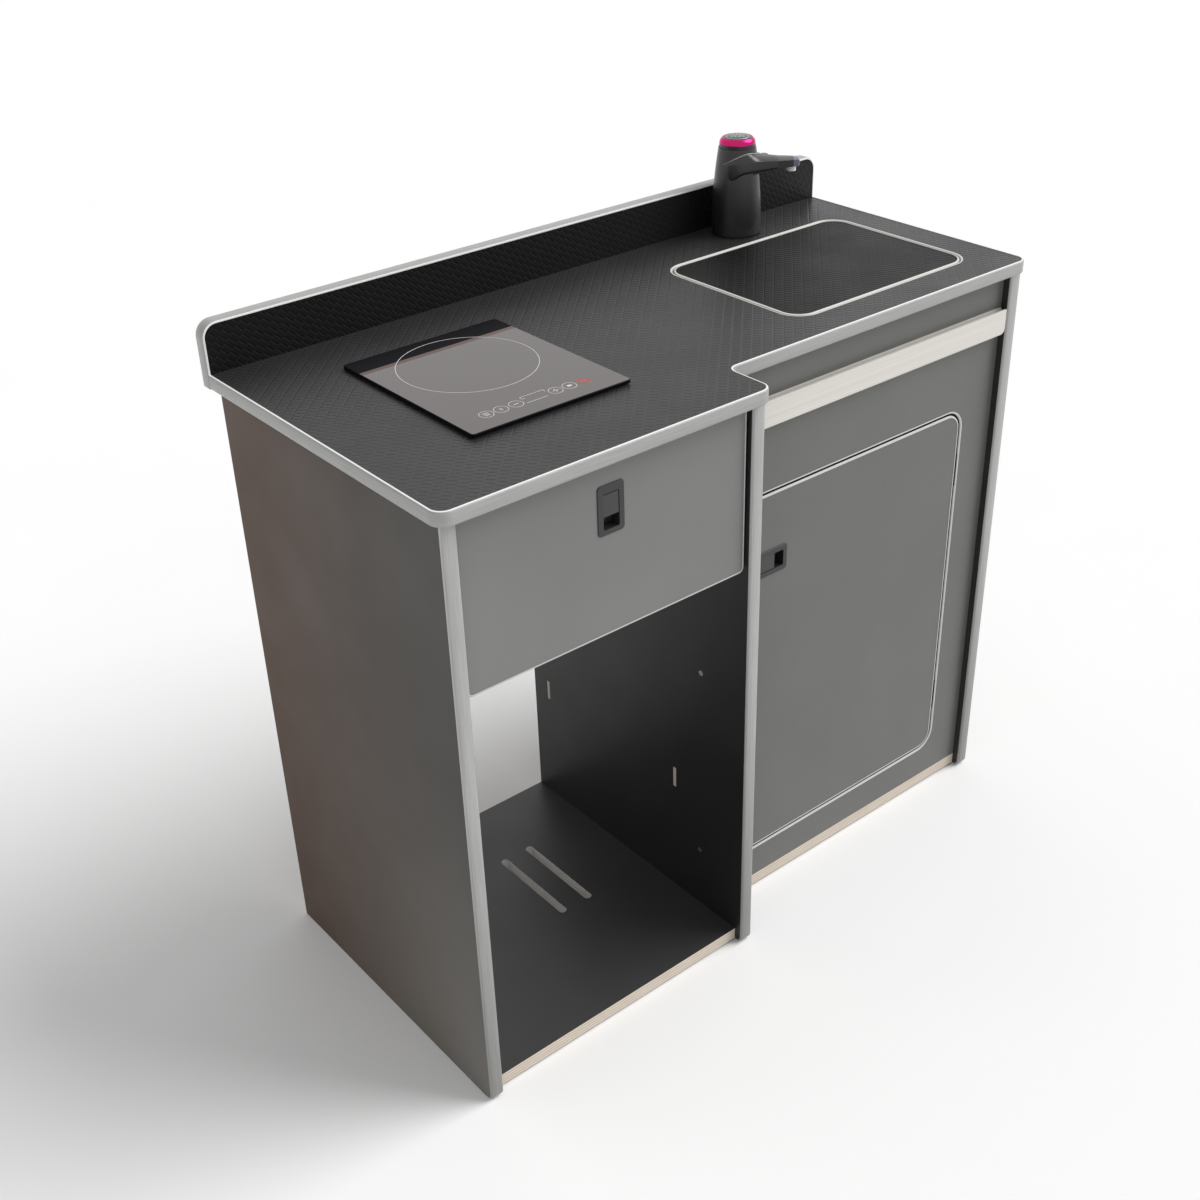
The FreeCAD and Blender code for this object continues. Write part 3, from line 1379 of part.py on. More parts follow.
RAIL_UNDER = "(worktop_under - board - drawer_latch_level)"
drawer_keeper = keeper("drawer_keeper", "bay_middle", "drawer_front_face", "drawer_latch_level", Rotation(), [
    ("keeper_front", KEEPER_END),
    ("keeper_front + keeper_sheet", KEEPER_END),
    ("keeper_front + keeper_sheet", f"{RAIL_UNDER} - keeper_sheet"),
    ("top_rail_front - drawer_setback + keeper_foot", f"{RAIL_UNDER} - keeper_sheet"),
    ("top_rail_front - drawer_setback + keeper_foot", RAIL_UNDER),
    ("keeper_front", RAIL_UNDER),
])
STILE_REACH = "(door_latch_x - opening_left)"
door_keeper = keeper("door_keeper", "door_latch_x", "face_front", "door_latch_height", DOOR_LATCH_TURN, [
    ("keeper_front", KEEPER_END),
    ("keeper_front + keeper_sheet", KEEPER_END),
    ("keeper_front + keeper_sheet", f"{STILE_REACH} + keeper_foot"),
    ("board", f"{STILE_REACH} + keeper_foot"),
    ("board", STILE_REACH),
    ("keeper_front", STILE_REACH),
])
group("latch_keepers", [drawer_keeper, door_keeper])

# Door panel with edging

DOOR_BOARD_WIDTH = "door_width - 2 * edging_cap"
DOOR_BOARD_HEIGHT = "door_height - 2 * edging_cap"
DOOR_CORNER = "opening_corner - door_inset"

door = new_body("door_panel", "door_left", "face_front", "door_low")
door_sketch = sketch_on(door, "XZ")
draw_box(door_sketch, "edging_cap", "edging_cap", DOOR_BOARD_WIDTH, DOOR_BOARD_HEIGHT,
         f"{DOOR_CORNER} - edging_cap")
draw_box(door_sketch, "door_latch_inset - latch_body_height / 2 - joint_clearance",
         "door_latch_height - door_low - latch_body_width / 2 - joint_clearance",
         "latch_body_height + 2 * joint_clearance", "latch_body_width + 2 * joint_clearance",
         "latch_corner / 2")
pad(door, door_sketch, "board")
keep(door)
ring_edging("door_edging", "door_left", "face_front - edging_lip", "door_low", "XZ",
            "door_width", "door_height", DOOR_CORNER, True, "board + edging_lip", True)


# Door hinges: slim butt hinges in the gap beside the door. The leaf on the stile has the middle knuckle
# and the pin, the leaf on the door has the two outer knuckles. Each is built about the pin's axis.

HINGE_HALF = "hinge_leaf_height / 2"
HINGE_NECK = "hinge_knuckle + hinge_play"


def hinge_leaf(label, level, side, knuckles, bored):
    """A leaf against the stile (side 1) or the door (side -1), with a knuckle for each low end and height."""
    body = new_body(label, "hinge_x", "hinge_y", level)
    outer = f"{side} * door_gap / 2"
    inner = f"{side} * (door_gap / 2 - hinge_sheet)"
    left, right = sorted((outer, inner), key=value)
    sheet = sketch_on(body, "XY", f"-{HINGE_HALF}")
    draw_box(sheet, left, HINGE_NECK, f"{right} - ({left})", f"hinge_leaf_depth - ({HINGE_NECK})")
    pad(body, sheet, "hinge_leaf_height")
    for low, height in knuckles:
        neck = sketch_on(body, "XY", low)
        draw_box(neck, left, "0", f"{right} - ({left})", HINGE_NECK)
        pad(body, neck, height)
        eye = sketch_on(body, "XY", low)
        draw_circle(eye, "0", "0", "hinge_knuckle")
        pad(body, eye, height)
    if bored:
        bore(body, "XY", HINGE_HALF, "0", "0", "hinge_pin + pin_clearance", "hinge_leaf_height")
    else:
        pin = sketch_on(body, "XY", f"-{HINGE_HALF}")
        draw_circle(pin, "0", "0", "hinge_pin")
        pad(body, pin, "hinge_leaf_height")
    return body


OUTER_KNUCKLE = "(hinge_leaf_height - hinge_finger) / 2 - hinge_play"
STILE_KNUCKLES = [("-hinge_finger / 2", "hinge_finger")]
DOOR_KNUCKLES = [(f"-{HINGE_HALF}", OUTER_KNUCKLE), ("hinge_finger / 2 + hinge_play", OUTER_KNUCKLE)]
HINGE_LEVELS = {"low": "hinge_low", "high": "hinge_high"}
group("hinge_leaves_stile", [
    hinge_leaf(f"stile_leaf_{end}", level, 1, STILE_KNUCKLES, False) for end, level in HINGE_LEVELS.items()])
group("hinge_leaves_door", [
    hinge_leaf(f"door_leaf_{end}", level, -1, DOOR_KNUCKLES, True) for end, level in HINGE_LEVELS.items()])


# Screws, dowels and brackets

def lying_cylinder(label, x, y, z, radius, length):
    """A cylinder along X."""
    item = doc.addObject("Part::Cylinder", label)
    item.Placement = Placement(Vector(), Rotation(Vector(0, 1, 0), 90))
    bind(item, "Radius", radius)
    bind(item, "Height", length)
    place(item, x, y, z)
    return item


dowels = []
for panel_x, panel_offsets in (
        ("bay_left - board / 2", BAY_DOWELS),
        ("bay_right - dowel_length + board / 2", BAY_DOWELS),
        ("cupboard_left - board / 2", CUPBOARD_DOWELS),
        ("cupboard_right - dowel_length + board / 2", CUPBOARD_DOWELS)):
    for dowel_offset in panel_offsets:
        dowels.append(lying_cylinder("dowel", panel_x, f"carcass_front + {dowel_offset}", BASE_MIDDLE,
                                     "dowel_radius", "dowel_length"))
for level in SCREW_LEVELS:
    dowels.append(lying_cylinder("dowel", "cupboard_right - dowel_length + board / 2",
                                 f"carcass_front + {FACE_MIDDLE}", level, "dowel_radius", "dowel_length"))
group("panel_dowels", dowels)

screws = []
for number, level in enumerate(SCREW_LEVELS):
    screw = new_body(f"screw_{number}", "bay_right", f"carcass_front + {FACE_MIDDLE}", level,
                     Rotation(Vector(0, 1, 0), 90))
    screw_sketch = sketch_on(screw, "XZ")
    draw_polygon(screw_sketch, [
        ("0", "0"),
        ("screw_head - screw_play", "0"),
        ("screw_radius", "screw_head - screw_radius"),
        ("screw_radius", "screw_length - screw_radius"),
        ("0", "screw_length"),
    ])
    turned(screw, screw_sketch)
    screws.append(screw)
group("divider_screws", screws)


def angle_bracket(x, y, mirrored):
    """A steel angle under the worktop, against the side of an upright panel."""
    rotation = Rotation(Vector(0, 0, 1), 180) if mirrored else Rotation()
    body = new_body("angle_bracket", x, y, "worktop_under", rotation)
    sketch = sketch_on(body, "XZ")
    draw_outline(sketch, [
        ("0", "-bracket_leg"),
        ("bracket_sheet", "-bracket_leg"),
        ("bracket_sheet", "-bracket_sheet"),
        ("bracket_leg", "-bracket_sheet"),
        ("bracket_leg", "0"),
        ("0", "0"),
    ])
    pad(body, sketch, "bracket_width")
    return body


brackets = []
for bracket_y in ("carcass_front + bracket_front", "carcass_rear - bracket_rear"):
    brackets.append(angle_bracket("bay_left", bracket_y, False))
    brackets.append(angle_bracket("bay_right", f"{bracket_y} + bracket_width", True))
brackets.append(angle_bracket("cupboard_left", "carcass_rear - bracket_rear", False))
brackets.append(angle_bracket("cupboard_right", "carcass_rear - bracket_rear + bracket_width", True))
group("worktop_brackets", brackets)

# Checks, then one file for each sub-part

doc.recompute()
for item in doc.Objects:
    if "Invalid" in item.State or "Error" in item.State:
        raise RuntimeError(f"{item.Name} failed: {item.State}")
os.makedirs("parts", exist_ok=True)
for item in nodes:
    shape = item.Shape
    if shape.isNull() or not shape.isValid() or not shape.Solids:
        raise RuntimeError(f"{item.Label} has no valid solid")
    shape.exportStep(f"parts/{item.Label}.step")
print(len(nodes), "sub-parts written")
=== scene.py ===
"""Looks of the campervan kitchen pod: materials, small fittings, studio and camera."""

import math

import bmesh
import bpy
from mathutils import Matrix, Vector


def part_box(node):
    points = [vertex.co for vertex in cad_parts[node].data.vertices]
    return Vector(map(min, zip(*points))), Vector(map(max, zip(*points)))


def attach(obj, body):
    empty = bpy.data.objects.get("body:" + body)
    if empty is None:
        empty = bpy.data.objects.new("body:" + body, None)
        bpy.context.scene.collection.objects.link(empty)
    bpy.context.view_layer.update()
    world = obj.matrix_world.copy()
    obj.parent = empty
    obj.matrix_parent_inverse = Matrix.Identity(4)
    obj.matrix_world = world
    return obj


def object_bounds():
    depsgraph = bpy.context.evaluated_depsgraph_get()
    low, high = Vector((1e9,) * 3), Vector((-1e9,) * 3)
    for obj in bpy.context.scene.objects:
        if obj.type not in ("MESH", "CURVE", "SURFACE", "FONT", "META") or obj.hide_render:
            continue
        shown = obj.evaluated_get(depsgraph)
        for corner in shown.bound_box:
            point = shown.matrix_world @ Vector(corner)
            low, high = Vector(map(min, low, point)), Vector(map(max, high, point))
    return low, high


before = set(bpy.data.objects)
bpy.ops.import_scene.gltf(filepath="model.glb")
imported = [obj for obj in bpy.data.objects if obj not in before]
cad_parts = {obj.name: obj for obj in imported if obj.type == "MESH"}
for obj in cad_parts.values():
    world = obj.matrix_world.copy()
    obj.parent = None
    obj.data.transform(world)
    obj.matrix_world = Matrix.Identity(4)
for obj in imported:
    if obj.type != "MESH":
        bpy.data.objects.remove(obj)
cad_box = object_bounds()

MM = 0.001
X, Y, Z = 0, 1, 2
UP = (0, 0, 1)
# Sockets of a mix node, by number because their names repeat: its share, two values, two colours
SHARE, VALUE_A, VALUE_B, COLOUR_A, COLOUR_B = 0, 2, 3, 6, 7

# Real sizes in the finishes, in metres
BOARD_PLY, PALE_PLY = 2.25 * MM, 1.1 * MM
DRAWER_PLY = 1.8 * MM
EDGING_HALF = 9.5 * MM
LOZENGE_WIDTH = 8.5 * MM
BARE_STRIP, BRONZE_LINE = 37 * MM, 8 * MM
# The bay base's edges that are nearer than this to its front or rear stay bare
SLOT_MARGIN = 20 * MM
# Where painted tones fade, in metres: painted bounce light on the laminate and painted shade on the
# edgings at the foot, and a painted reflection on the laminate to the rear
FOOT_BOUNCE_FADE, FOOT_SHADE_FADE, REAR_REFLECTION_FADE = (0.05, 0.5), (0.05, 0.45), (-0.2, 0.2)
# A board's face begins where the normal leans this far along the axis across it, the top of the
# glass where it leans up this far, and an edging's lip, with its painted highlight, at this square
# of its half width
FACE_LEAN, TOP_LEAN, LIP_HIGHLIGHT_SQUARE = 0.6, 0.99, 0.86


# Small helpers

def linear(hex_colour):
    """A colour written as sRGB hex, as the linear values that Blender works with."""
    parts = [int(hex_colour[i:i + 2], 16) / 255 for i in (1, 3, 5)]
    return tuple(c / 12.92 if c <= 0.04045 else ((c + 0.055) / 1.055) ** 2.4
                 for c in parts) + (1.0,)


def add_node(tree, kind, inputs=None, **settings):
    """Adds a node, sets its properties, then sets each input or links it to a socket or a node."""
    node = tree.nodes.new(kind)
    for name, setting in settings.items():
        setattr(node, name, setting)
    for name, source in (inputs or {}).items():
        if isinstance(source, bpy.types.Node):
            source = next(socket for socket in source.outputs if socket.enabled)
        if isinstance(source, bpy.types.NodeSocket):
            tree.links.new(source, node.inputs[name])
        else:
            node.inputs[name].default_value = source
    return node


def new_material(name):
    """An empty material, its tree, and the place and the normal that its patterns follow."""
    material = bpy.data.materials.new(name)
    material.use_nodes = True
    tree = material.node_tree
    tree.nodes.clear()
    coordinates = add_node(tree, "ShaderNodeTexCoord").outputs
    return material, tree, coordinates["Object"], coordinates["Normal"]


def end_material(material, finish):
    """Joins the principled shader, with its colour, gloss and relief, to the surface."""
    shader = add_node(material.node_tree, "ShaderNodeBsdfPrincipled", finish)
    add_node(material.node_tree, "ShaderNodeOutputMaterial", {"Surface": shader})
    return material


def unevenness(tree, place, size, low, high, detail=2.0, drawn_out=(1, 1, 1)):
    """A value that wanders from low to high in blobs of about one size in millimetres.

    drawn_out stretches the blobs along an axis, which turns them into grain or brushed lines.
    Nearly all of the noise lies between 0.3 and 0.7.
    """
    mapped = add_node(tree, "ShaderNodeMapping", {
        "Vector": place, "Scale": [1 / (size * MM * stretch) for stretch in drawn_out]})
    blobs = add_node(tree, "ShaderNodeTexNoise", {"Vector": mapped, "Scale": 1.0, "Detail": detail})
    return add_node(tree, "ShaderNodeMapRange", {
        "Value": blobs, "From Min": 0.3, "From Max": 0.7, "To Min": low, "To Max": high})


def lines_across(axis, stretch):
    """How blobs are drawn out into lines that lie square to one axis."""
    return [1 if way == axis else stretch for way in (X, Y, Z)]


# Materials. Each is named for what it is made of.

def faces_of_board(tree, normal, across):
    """Which way the surface looks across the board, and a value that is 1 on its two faces."""
    facing = add_node(tree, "ShaderNodeSeparateXYZ", {0: normal}).outputs[across]
    steep = add_node(tree, "ShaderNodeMath", {0: facing}, operation="ABSOLUTE")
    on_face = add_node(tree, "ShaderNodeMath", {0: steep, 1: FACE_LEAN}, operation="GREATER_THAN")
    return facing, on_face


def dark_plies(tree, depth, thickness, gap_shade_from):
    """A value that is 1 in every second ply through the thickness of a board."""
    ply = add_node(tree, "ShaderNodeMath", {0: depth, 1: thickness}, operation="PINGPONG")
    return add_node(tree, "ShaderNodeMath", {0: ply, 1: gap_shade_from}, operation="GREATER_THAN")


def sawn_edge(tree, place, depth, across):
    """Colour and raised fibres of a bare edge: pale long grain between darker end grain."""
    ply = dark_plies(tree, depth, BOARD_PLY, PALE_PLY)
    streak = unevenness(tree, place, 1.2, 0.0, 1.0, 3.0, lines_across(across, 30))
    edge = add_node(tree, "ShaderNodeMix", {
        SHARE: ply, COLOUR_A: linear("#ddd6cd"), COLOUR_B: linear("#c9bba8")}, data_type="RGBA")
    worn = add_node(tree, "ShaderNodeMath", {0: streak, 1: 0.35}, operation="MULTIPLY")
    edge = add_node(tree, "ShaderNodeMix", {
        SHARE: worn, COLOUR_A: edge, COLOUR_B: linear("#b39f86")}, data_type="RGBA")
    fibres = add_node(tree, "ShaderNodeMath", {0: streak, 1: ply}, operation="MULTIPLY")
    return edge, fibres


def lozenges(tree, x_y_z, across):
    """Embossed lozenges, 8.5 by 12.75 mm, laid like bricks at 45 degrees over the board's face."""
    other = {Y: Z, Z: Y}[across]
    sheet = add_node(tree, "ShaderNodeCombineXYZ", {0: x_y_z[X], 1: x_y_z[other]})
    turned = add_node(tree, "ShaderNodeMapping", {
        "Vector": sheet, "Rotation": (0, 0, math.radians(-45)), "Scale": [1 / LOZENGE_WIDTH] * 3})
    grooves = add_node(tree, "ShaderNodeTexBrick", {
        "Vector": turned, "Scale": 1.0, "Mortar Size": 0.22, "Mortar Smooth": 1.0,
        "Brick Width": 1.0, "Row Height": 1.5}).outputs["Fac"]
    return add_node(tree, "ShaderNodeMath", {0: 1.0, 1: grooves}, operation="SUBTRACT")


def laminated_plywood(name, low_hex, high_hex, across, roughness=0.42, gloss=0.5, painted_reflection_hex=None,
                      painted_bounce_hex=None, slot_light_hex=None, emboss=0.0):
    """Poplar plywood, 18 mm in eight plies, with laminate on both faces and bare sawn edges.

    The laminate is satin with a very fine pearl grain, so it takes soft wide highlights. low_hex
    and high_hex are the colours of the faces that look down and up the axis across the board.
    The tone for the rear is a painted reflection, bronze, and the one for the foot is painted
    bounce light from the floor, paler. The tone for the slots is a painted near-white on the edges
    inside the bay base, for light showing through them, and emboss is how high the lozenges stand,
    in millimetres.
    """
    material, tree, place, normal = new_material(name)
    x_y_z = add_node(tree, "ShaderNodeSeparateXYZ", {0: place}).outputs
    facing, on_face = faces_of_board(tree, normal, across)
    looks_up = add_node(tree, "ShaderNodeMath", {0: facing, 1: 0.0}, operation="GREATER_THAN")

    low_colour = linear(low_hex)
    # Painted light: a paler tone towards the foot stands in for the floor's bounce light, and a
    # bronze tone towards the rear for a reflection of warm surroundings
    if painted_reflection_hex:
        upward = add_node(tree, "ShaderNodeMapRange", {
            "Value": x_y_z[Z], "From Min": FOOT_BOUNCE_FADE[0], "From Max": FOOT_BOUNCE_FADE[1]})
        low_colour = add_node(tree, "ShaderNodeMix", {
            SHARE: upward, COLOUR_A: linear(painted_bounce_hex), COLOUR_B: low_colour}, data_type="RGBA")
        reflection_share = add_node(tree, "ShaderNodeMapRange", {
            "Value": x_y_z[Y], "From Min": REAR_REFLECTION_FADE[0], "From Max": REAR_REFLECTION_FADE[1]})
        low_colour = add_node(tree, "ShaderNodeMix", {
            SHARE: reflection_share, COLOUR_A: low_colour, COLOUR_B: linear(painted_reflection_hex)}, data_type="RGBA")
    laminate = add_node(tree, "ShaderNodeMix", {
        SHARE: looks_up, COLOUR_A: low_colour, COLOUR_B: linear(high_hex)}, data_type="RGBA")
    clouds = unevenness(tree, place, 160, 0.96, 1.04)
    specks = unevenness(tree, place, 1.1, 0.93, 1.07, 1.0)
    tone = add_node(tree, "ShaderNodeMath", {0: clouds, 1: specks}, operation="MULTIPLY")
    laminate = add_node(tree, "ShaderNodeVectorMath", {0: laminate, "Scale": tone},
                        operation="SCALE")

    edge, fibres = sawn_edge(tree, place, x_y_z[across], across)
    # Painted light: the edges inside the bay base are painted near-white to stand in for light
    # showing through the slots
    if slot_light_hex:
        board_front, board_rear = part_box("bay_base_panel")[0].y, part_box("bay_base_panel")[1].y
        middle = (board_front + board_rear) / 2
        reach = (board_rear - board_front) / 2 - SLOT_MARGIN
        inside = add_node(tree, "ShaderNodeMath", {0: x_y_z[Y], 1: middle, 2: reach},
                          operation="COMPARE")
        edge = add_node(tree, "ShaderNodeMix", {
            SHARE: inside, COLOUR_A: edge, COLOUR_B: linear(slot_light_hex)}, data_type="RGBA")
    colour = add_node(tree, "ShaderNodeMix", {
        SHARE: on_face, COLOUR_A: edge, COLOUR_B: laminate}, data_type="RGBA")
    rub = unevenness(tree, place, 90, roughness - 0.04, roughness + 0.05, 3.0)
    rough = add_node(tree, "ShaderNodeMix", {SHARE: on_face, VALUE_A: 0.8, VALUE_B: rub})

    grains = unevenness(tree, place, 0.9, 0.0, 1.0)
    pearl = add_node(tree, "ShaderNodeMath", {0: grains, 1: on_face}, operation="MULTIPLY")
    relief = add_node(tree, "ShaderNodeBump", {
        "Height": pearl, "Distance": 0.01 * MM, "Strength": 1.0})
    on_edge = add_node(tree, "ShaderNodeMath", {0: 1.0, 1: on_face}, operation="SUBTRACT")
    fibres = add_node(tree, "ShaderNodeMath", {0: fibres, 1: on_edge}, operation="MULTIPLY")
    relief = add_node(tree, "ShaderNodeBump", {
        "Height": fibres, "Distance": 0.04 * MM, "Strength": 1.0, "Normal": relief})
    if emboss:
        raised = add_node(tree, "ShaderNodeMath", {
            0: lozenges(tree, x_y_z, across), 1: on_face}, operation="MULTIPLY")
        relief = add_node(tree, "ShaderNodeBump", {
            "Height": raised, "Distance": emboss * MM, "Strength": 1.0, "Normal": relief})
    return end_material(material, {
        "Base Color": colour, "Roughness": rough, "Specular IOR Level": gloss, "Normal": relief})


def push_in_edging(name, across, middle, side_hex, lip_highlight_hex, gap_shade_from=None, foot_shade_share=1.0):
    """Silver ABS edging 19 mm wide, extruded and brushed, its domed crown lined, its lips given a
    painted highlight.

    The first number after the two colours is how far behind its front the flank that faces a gap is
    painted dark as shade, in millimetres, and the second is how much of its tone is left at its
    foot, which is painted darker as shade.
    """
    material, tree, place, _ = new_material(name)
    x_y_z = add_node(tree, "ShaderNodeSeparateXYZ", {0: place}).outputs
    offset = add_node(tree, "ShaderNodeMath", {0: x_y_z[across], 1: middle}, operation="SUBTRACT")
    offset = add_node(tree, "ShaderNodeMath", {0: offset, 1: EDGING_HALF}, operation="DIVIDE")
    square = add_node(tree, "ShaderNodeMath", {0: offset, 1: offset}, operation="MULTIPLY")
    dome = add_node(tree, "ShaderNodeMath", {0: 1.0, 1: square}, operation="SUBTRACT")
    # Painted highlight: the lips are lighter than the sides of the crown
    on_lip_highlight = add_node(tree, "ShaderNodeMath", {0: square, 1: LIP_HIGHLIGHT_SQUARE},
                      operation="GREATER_THAN")
    line = unevenness(tree, place, 0.9, 0.9, 1.1, 2.0, lines_across(across, 60))
    side = add_node(tree, "ShaderNodeVectorMath", {0: linear(side_hex)[:3], "Scale": line},
                    operation="SCALE")
    colour = add_node(tree, "ShaderNodeMix", {
        SHARE: on_lip_highlight, COLOUR_A: side, COLOUR_B: linear(lip_highlight_hex)}, data_type="RGBA")
    # Painted shade: the edging is darkened towards its foot
    if foot_shade_share < 1.0:
        shaded_foot = add_node(tree, "ShaderNodeMapRange", {
            "Value": x_y_z[Z], "From Min": FOOT_SHADE_FADE[0], "From Max": FOOT_SHADE_FADE[1],
            "To Min": foot_shade_share})
        colour = add_node(tree, "ShaderNodeVectorMath", {0: colour, "Scale": shaded_foot},
                          operation="SCALE")
    # Painted shade: the flank that faces a gap is painted near-black
    if gap_shade_from is not None:
        in_gap_shade = add_node(tree, "ShaderNodeMath", {
            0: x_y_z[across], 1: middle - EDGING_HALF + gap_shade_from * MM}, operation="GREATER_THAN")
        colour = add_node(tree, "ShaderNodeMix", {
            SHARE: in_gap_shade, COLOUR_A: colour, COLOUR_B: linear("#222223")}, data_type="RGBA")
    relief = add_node(tree, "ShaderNodeBump", {
        "Height": dome, "Distance": 1.2 * MM, "Strength": 1.0})
    relief = add_node(tree, "ShaderNodeBump", {
        "Height": line, "Distance": 0.08 * MM, "Strength": 1.0, "Normal": relief})
    return end_material(material, {
        "Base Color": colour, "Roughness": unevenness(tree, place, 20, 0.3, 0.38), "IOR": 1.5,
        "Normal": relief})


def moulded_plastic(name, hex_colour, roughness):
    """Injection-moulded ABS or nylon from a spark-eroded mould: satin, with a fine even grain."""
    material, tree, place, _ = new_material(name)
    dust = unevenness(tree, place, 9, 0.94, 1.06, 3.0)
    colour = add_node(tree, "ShaderNodeVectorMath", {0: linear(hex_colour)[:3], "Scale": dust},
                      operation="SCALE")
    grain = unevenness(tree, place, 0.5, 0.0, 1.0)
    relief = add_node(tree, "ShaderNodeBump", {
        "Height": grain, "Distance": 0.008 * MM, "Strength": 1.0})
    return end_material(material, {
        "Base Color": colour, "IOR": 1.53, "Normal": relief,
        "Roughness": unevenness(tree, place, 12, roughness - 0.04, roughness + 0.05)})


def zinc_plate(name):
    """Rolled and zinc-plated steel: bluish grey, with soft rolling lines and faint clouds."""
    material, tree, place, _ = new_material(name)
    cloud = unevenness(tree, place, 6, 0.0, 1.0, 3.0)
    colour = add_node(tree, "ShaderNodeMix", {
        SHARE: cloud, COLOUR_A: linear("#a6aab0"), COLOUR_B: linear("#c0c3c7")}, data_type="RGBA")
    rough = add_node(tree, "ShaderNodeMapRange", {"Value": cloud, "To Min": 0.28, "To Max": 0.42})
    rolled = unevenness(tree, place, 0.6, 0.0, 1.0, 1.0, (1, 40, 1))
    relief = add_node(tree, "ShaderNodeBump", {
        "Height": rolled, "Distance": 0.004 * MM, "Strength": 1.0})
    return end_material(material, {
        "Base Color": colour, "Roughness": rough, "Metallic": 1.0, "Normal": relief})


def brushed_stainless(name):
    """Deep-drawn stainless steel, brushed along the bowl: its highlights spread across that."""
    material, tree, place, _ = new_material(name)
    stroke = unevenness(tree, place, 0.5, 0.0, 1.0, 2.0, (60, 1, 1))
    rough = add_node(tree, "ShaderNodeMapRange", {"Value": stroke, "To Min": 0.24, "To Max": 0.38})
    cloud = unevenness(tree, place, 40, 0.0, 1.0, 3.0)
    colour = add_node(tree, "ShaderNodeMix", {
        SHARE: cloud, COLOUR_A: linear("#bebfc1"), COLOUR_B: linear("#c8c9c9")}, data_type="RGBA")
    relief = add_node(tree, "ShaderNodeBump", {
        "Height": stroke, "Distance": 0.004 * MM, "Strength": 1.0})
    return end_material(material, {
        "Base Color": colour, "Roughness": rough, "Metallic": 1.0, "Normal": relief})


def mirror_black_glass(name):
    """Black ceramic glass whose top carries a thin half-mirror coat; its ground edges stay black.

    The coat ends in a bronze line and leaves a bare strip along the rear edge.
    """
    material, tree, place, normal = new_material(name)
    upward = add_node(tree, "ShaderNodeSeparateXYZ", {0: normal}).outputs[Z]
    on_top = add_node(tree, "ShaderNodeMath", {0: upward, 1: TOP_LEAN}, operation="GREATER_THAN")
    depth = add_node(tree, "ShaderNodeSeparateXYZ", {0: place}).outputs[Y]
    coat_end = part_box("hob_glass")[1].y - BARE_STRIP
    forward = add_node(tree, "ShaderNodeMath", {0: depth, 1: coat_end}, operation="LESS_THAN")
    coated = add_node(tree, "ShaderNodeMath", {0: on_top, 1: forward}, operation="MULTIPLY")
    at_end = add_node(tree, "ShaderNodeMath", {0: depth, 1: coat_end - BRONZE_LINE},
                      operation="GREATER_THAN")
    coat = add_node(tree, "ShaderNodeMix", {
        SHARE: at_end, COLOUR_A: linear("#706b6b"), COLOUR_B: linear("#553c31")}, data_type="RGBA")
    colour = add_node(tree, "ShaderNodeMix", {
        SHARE: coated, COLOUR_A: linear("#0a0a0e"), COLOUR_B: coat}, data_type="RGBA")
    smear = unevenness(tree, place, 50, 0.03, 0.08, 4.0, (1, 2, 1))
    rough = add_node(tree, "ShaderNodeMix", {SHARE: coated, VALUE_A: 0.4, VALUE_B: smear})
    wave = unevenness(tree, place, 120, 0.0, 1.0)
    relief = add_node(tree, "ShaderNodeBump", {
        "Height": wave, "Distance": 0.012 * MM, "Strength": 1.0})
    return end_material(material, {
        "Base Color": colour, "Roughness": rough, "Metallic": coated, "Specular IOR Level": 0.04,
        "Normal": relief})


def printed_ink(name, hex_colour):
    """Fired ceramic ink on the glass: thin, dense and slightly rough."""
    material, tree, place, _ = new_material(name)
    dense = unevenness(tree, place, 0.6, 0.86, 1.0)
    colour = add_node(tree, "ShaderNodeVectorMath", {0: linear(hex_colour)[:3], "Scale": dense},
                      operation="SCALE")
    return end_material(material, {"Base Color": colour, "Roughness": 0.5})


def anodised_rail(name):
    """Extruded aluminium rail, anodised and lacquered ivory: faint die lines under a satin coat."""
    material, tree, place, _ = new_material(name)
    line = unevenness(tree, place, 1.2, 0.0, 1.0, 2.0, (400, 1, 1))
    colour = add_node(tree, "ShaderNodeMix", {
        SHARE: line, COLOUR_A: linear("#cfccc4"), COLOUR_B: linear("#dcdad3")}, data_type="RGBA")
    relief = add_node(tree, "ShaderNodeBump", {
        "Height": line, "Distance": 0.015 * MM, "Strength": 1.0})
    return end_material(material, {"Base Color": colour, "Roughness": 0.42, "Normal": relief})


def anodised_ring(name, collar_top):
    """Turned aluminium ring, anodised magenta with fine turning lines, above a graphite collar."""
    material, tree, place, _ = new_material(name)
    height = add_node(tree, "ShaderNodeSeparateXYZ", {0: place}).outputs[Z]
    bright = add_node(tree, "ShaderNodeMath", {0: height, 1: collar_top}, operation="GREATER_THAN")
    groove = unevenness(tree, place, 0.4, 0.15, 0.25, 1.0, (40, 40, 1))
    rough = add_node(tree, "ShaderNodeMix", {SHARE: bright, VALUE_A: 0.34, VALUE_B: groove})
    colour = add_node(tree, "ShaderNodeMix", {
        SHARE: bright, COLOUR_A: linear("#262425"), COLOUR_B: linear("#bd2463")}, data_type="RGBA")
    relief = add_node(tree, "ShaderNodeBump", {
        "Height": groove, "Distance": 0.02 * MM, "Strength": 1.0})
    return end_material(material, {
        "Base Color": colour, "Roughness": rough, "Metallic": bright, "Normal": relief})


